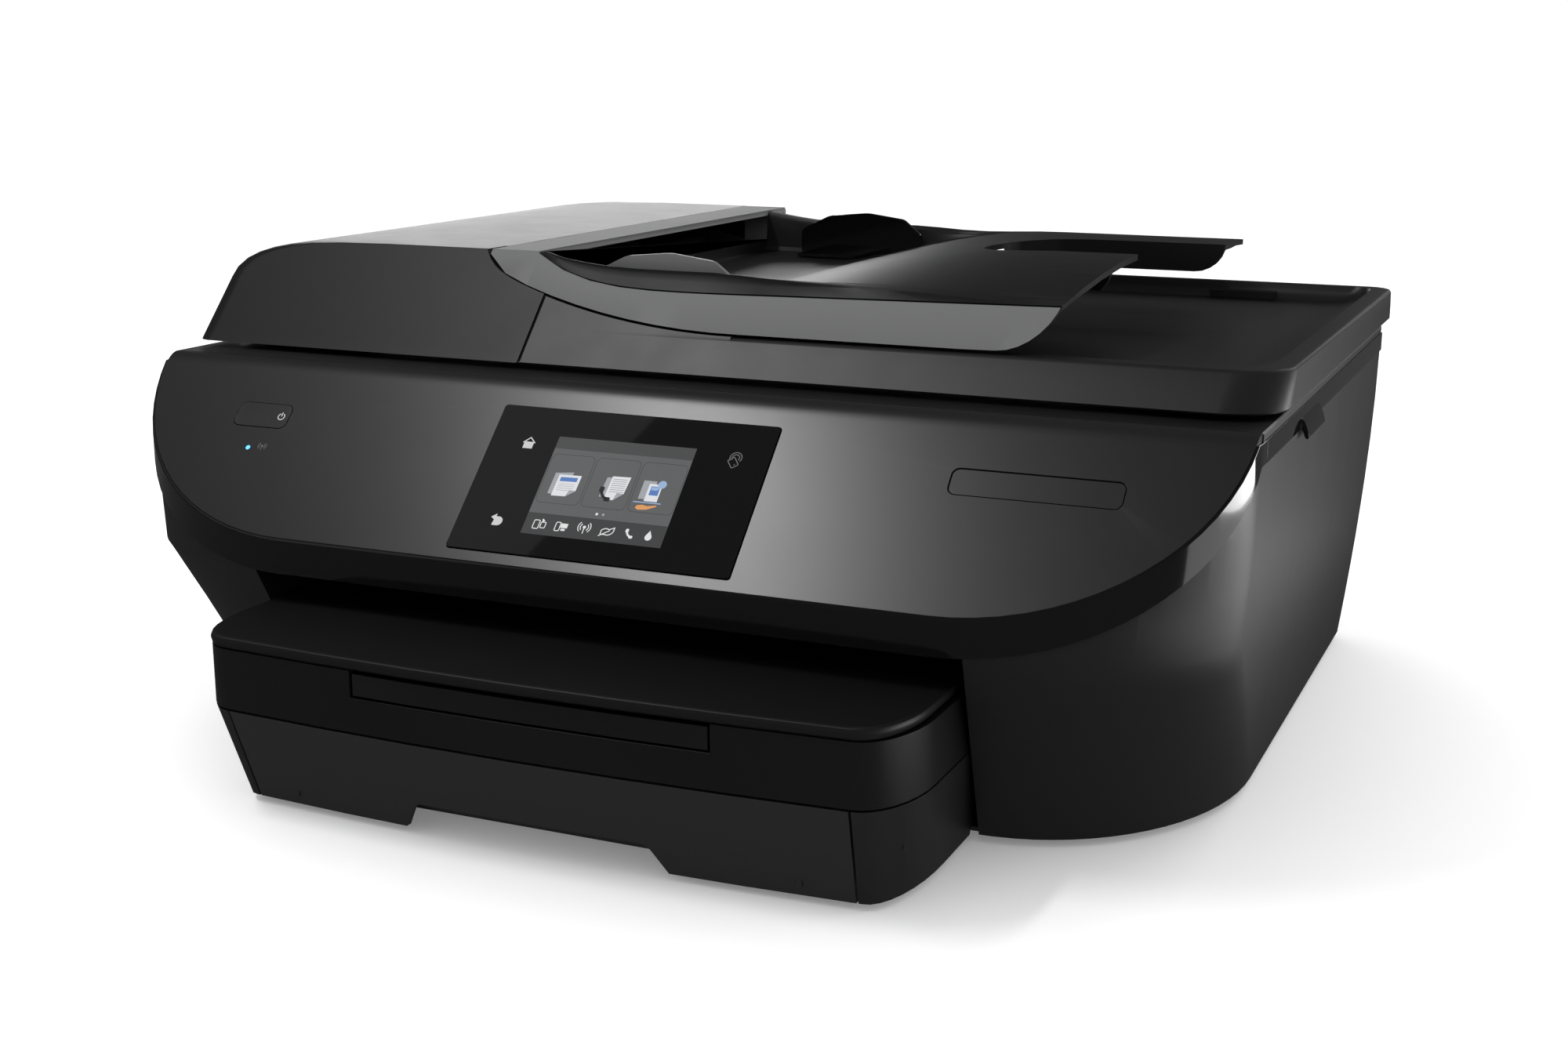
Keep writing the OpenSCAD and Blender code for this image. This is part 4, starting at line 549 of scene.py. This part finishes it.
# Power mark, wireless mark and the blue light pipe
plate("power_mark", moved(icon_power(), -154.6, 19.2, 0.72), POWER_MARK_LAYER, KEY_LIGHT,
      "power_key")
plate("wireless_mark", moved(icon_waves(FINE_LINE), -156.9, 4.6, 0.62), WIRELESS_MARK_LAYER,
      GREY_PRINT, "scanner_unit")
BLUE = lamp("blue_light", (0.10, 0.42, 0.85), 2.2)
plate("wireless_light", [disc(-163.3, 3.8, 0.95, 20)], LIGHT_PIPE_LAYER, BLUE, "scanner_unit")

# ---------------------------------------------------------------- floor, light and camera

FLOOR_FRONT, FLOOR_BACK, FLOOR_HALF_WIDTH = -2.4, 1.6, 5.0
SWEEP_RADIUS, WALL_TOP = 1.6, 4.2
FLOOR_DROP = 0.0002                     # keeps the floor clear of the feet
FLOOR_GLOW = 0.16

sweep = [(FLOOR_BACK + SWEEP_RADIUS * math.sin(math.radians(a)),
          SWEEP_RADIUS - SWEEP_RADIUS * math.cos(math.radians(a))) for a in range(10, 91, 10)]
profile = ([(FLOOR_FRONT, 0.0), (FLOOR_BACK, 0.0)] + sweep
           + [(FLOOR_BACK + SWEEP_RADIUS, WALL_TOP)])
mesh = bpy.data.meshes.new("floor")
bm = bmesh.new()
rows = [[bm.verts.new((x, y, z - FLOOR_DROP)) for x in (-FLOOR_HALF_WIDTH, FLOOR_HALF_WIDTH)]
        for y, z in profile]
for a, b in zip(rows, rows[1:]):
    bm.faces.new((a[0], a[1], b[1], b[0]))
bmesh.ops.recalc_face_normals(bm, faces=bm.faces)
bm.to_mesh(mesh)
bm.free()
mesh.shade_smooth()
floor = bpy.data.objects.new("floor", mesh)
bpy.context.scene.collection.objects.link(floor)
floor_mat = surface("pale_floor", (0.90, 0.90, 0.90), (0.65, 0.04), (60, 0, 0), 0.01, 0.2)
floor_bsdf = floor_mat.node_tree.nodes["Principled BSDF"]
floor_bsdf.inputs["Emission Color"].default_value = (1, 1, 1, 1)
floor_bsdf.inputs["Emission Strength"].default_value = FLOOR_GLOW
mesh.materials.append(floor_mat)
floor.visible_glossy = False

# White surroundings for the eye and for soft fill, dim ones in reflections, as in a studio
# hung with black cloth
FILL_STRENGTH, CLOTH_STRENGTH = 1.0, 0.07
world = bpy.data.worlds.new("studio")
bpy.context.scene.world = world
world.use_nodes = True
sky = world.node_tree
fill = sky.nodes["Background"]
cloth = sky.nodes.new("ShaderNodeBackground")
for background, strength in ((fill, FILL_STRENGTH), (cloth, CLOTH_STRENGTH)):
    background.inputs["Color"].default_value = (1, 1, 1, 1)
    background.inputs["Strength"].default_value = strength
rays = sky.nodes.new("ShaderNodeLightPath")
either = sky.nodes.new("ShaderNodeMixShader")
sky.links.new(rays.outputs["Is Glossy Ray"], either.inputs["Fac"])
sky.links.new(fill.outputs["Background"], either.inputs[1])
sky.links.new(cloth.outputs["Background"], either.inputs[2])
sky.links.new(either.outputs["Shader"], sky.nodes["World Output"].inputs["Surface"])


def area_light(name, place, size, power, aim=None, turn=0):
    """A rectangle of light that the camera doesn't see.

    It points at aim, or, where there is none, straight down and turned by degrees about z.
    """
    data = bpy.data.lights.new(name, "AREA")
    data.shape = "RECTANGLE"
    data.size, data.size_y = size
    data.energy = power
    obj = bpy.data.objects.new(name, data)
    obj.location = place
    if aim is None:
        obj.rotation_euler = (0, 0, math.radians(turn))
    else:
        way = Vector(aim) - Vector(place)
        obj.rotation_euler = way.to_track_quat("-Z", "Y").to_euler()
    obj.visible_camera = False
    bpy.context.scene.collection.objects.link(obj)
    return obj


key = area_light("key_overhead", (-0.548, -0.43, 1.30), (0.08, 0.50), 5.8)
area_light("glass_softbox", (-0.87, -0.20, 1.30), (0.60, 1.00), 0.30, turn=-43.8)
area_light("cover_softbox", (-0.92, 1.42, 0.42), (0.70, 0.42), 4.0, aim=(-0.10, 0.05, 0.19))
area_light("right_card", (0.62, 0.06, 0.004), (0.60, 0.60), 1.5, aim=(0.62, 0.06, 1.0))
area_light("right_wall_card", (0.80, 0.26, 0.07), (0.60, 0.20), 2.6, aim=(0.22, -0.06, 0.02))
area_light("back_fill", (0.70, 1.55, 0.85), (0.9, 0.6), 5.0, aim=(0.0, 0.2, 0.1))

# The key is kept off the glass and the gloss band, which would mirror it as a bare white
# patch, and with them off all that is drawn on the panel
unlit = bpy.data.collections.new("key_exclusions")
for obj in [nodes["touch_glass"], nodes["gloss_band"]] + panel_pieces:
    unlit.objects.link(obj)
key.light_linking.receiver_collection = unlit
for item in unlit.collection_objects:
    item.light_linking.link_state = "EXCLUDE"

CAMERA_PLACE = (0.3395, -0.7487, 0.2745)
LENS, SENSOR, NEAREST = 45.83, 36.0, 0.01
PAN, LOOK_DOWN, ROLL = 23.71, 13.45, 0.08    # degrees

camera_data = bpy.data.cameras.new("camera")
camera = bpy.data.objects.new("camera", camera_data)
bpy.context.scene.collection.objects.link(camera)
bpy.context.scene.camera = camera
camera_data.sensor_width = SENSOR
camera_data.lens = LENS
camera_data.dof.use_dof = False
camera_data.clip_start = NEAREST
camera.location = CAMERA_PLACE
pan = Matrix.Rotation(math.radians(PAN), 4, "Z")
tilt = Matrix.Rotation(math.radians(90 - LOOK_DOWN), 4, "X")
roll = Matrix.Rotation(math.radians(ROLL), 4, "Z")
camera.rotation_euler = (pan @ tilt @ roll).to_euler()

scene = bpy.context.scene
scene.view_settings.view_transform = "Standard"
scene.view_settings.exposure = 0.0
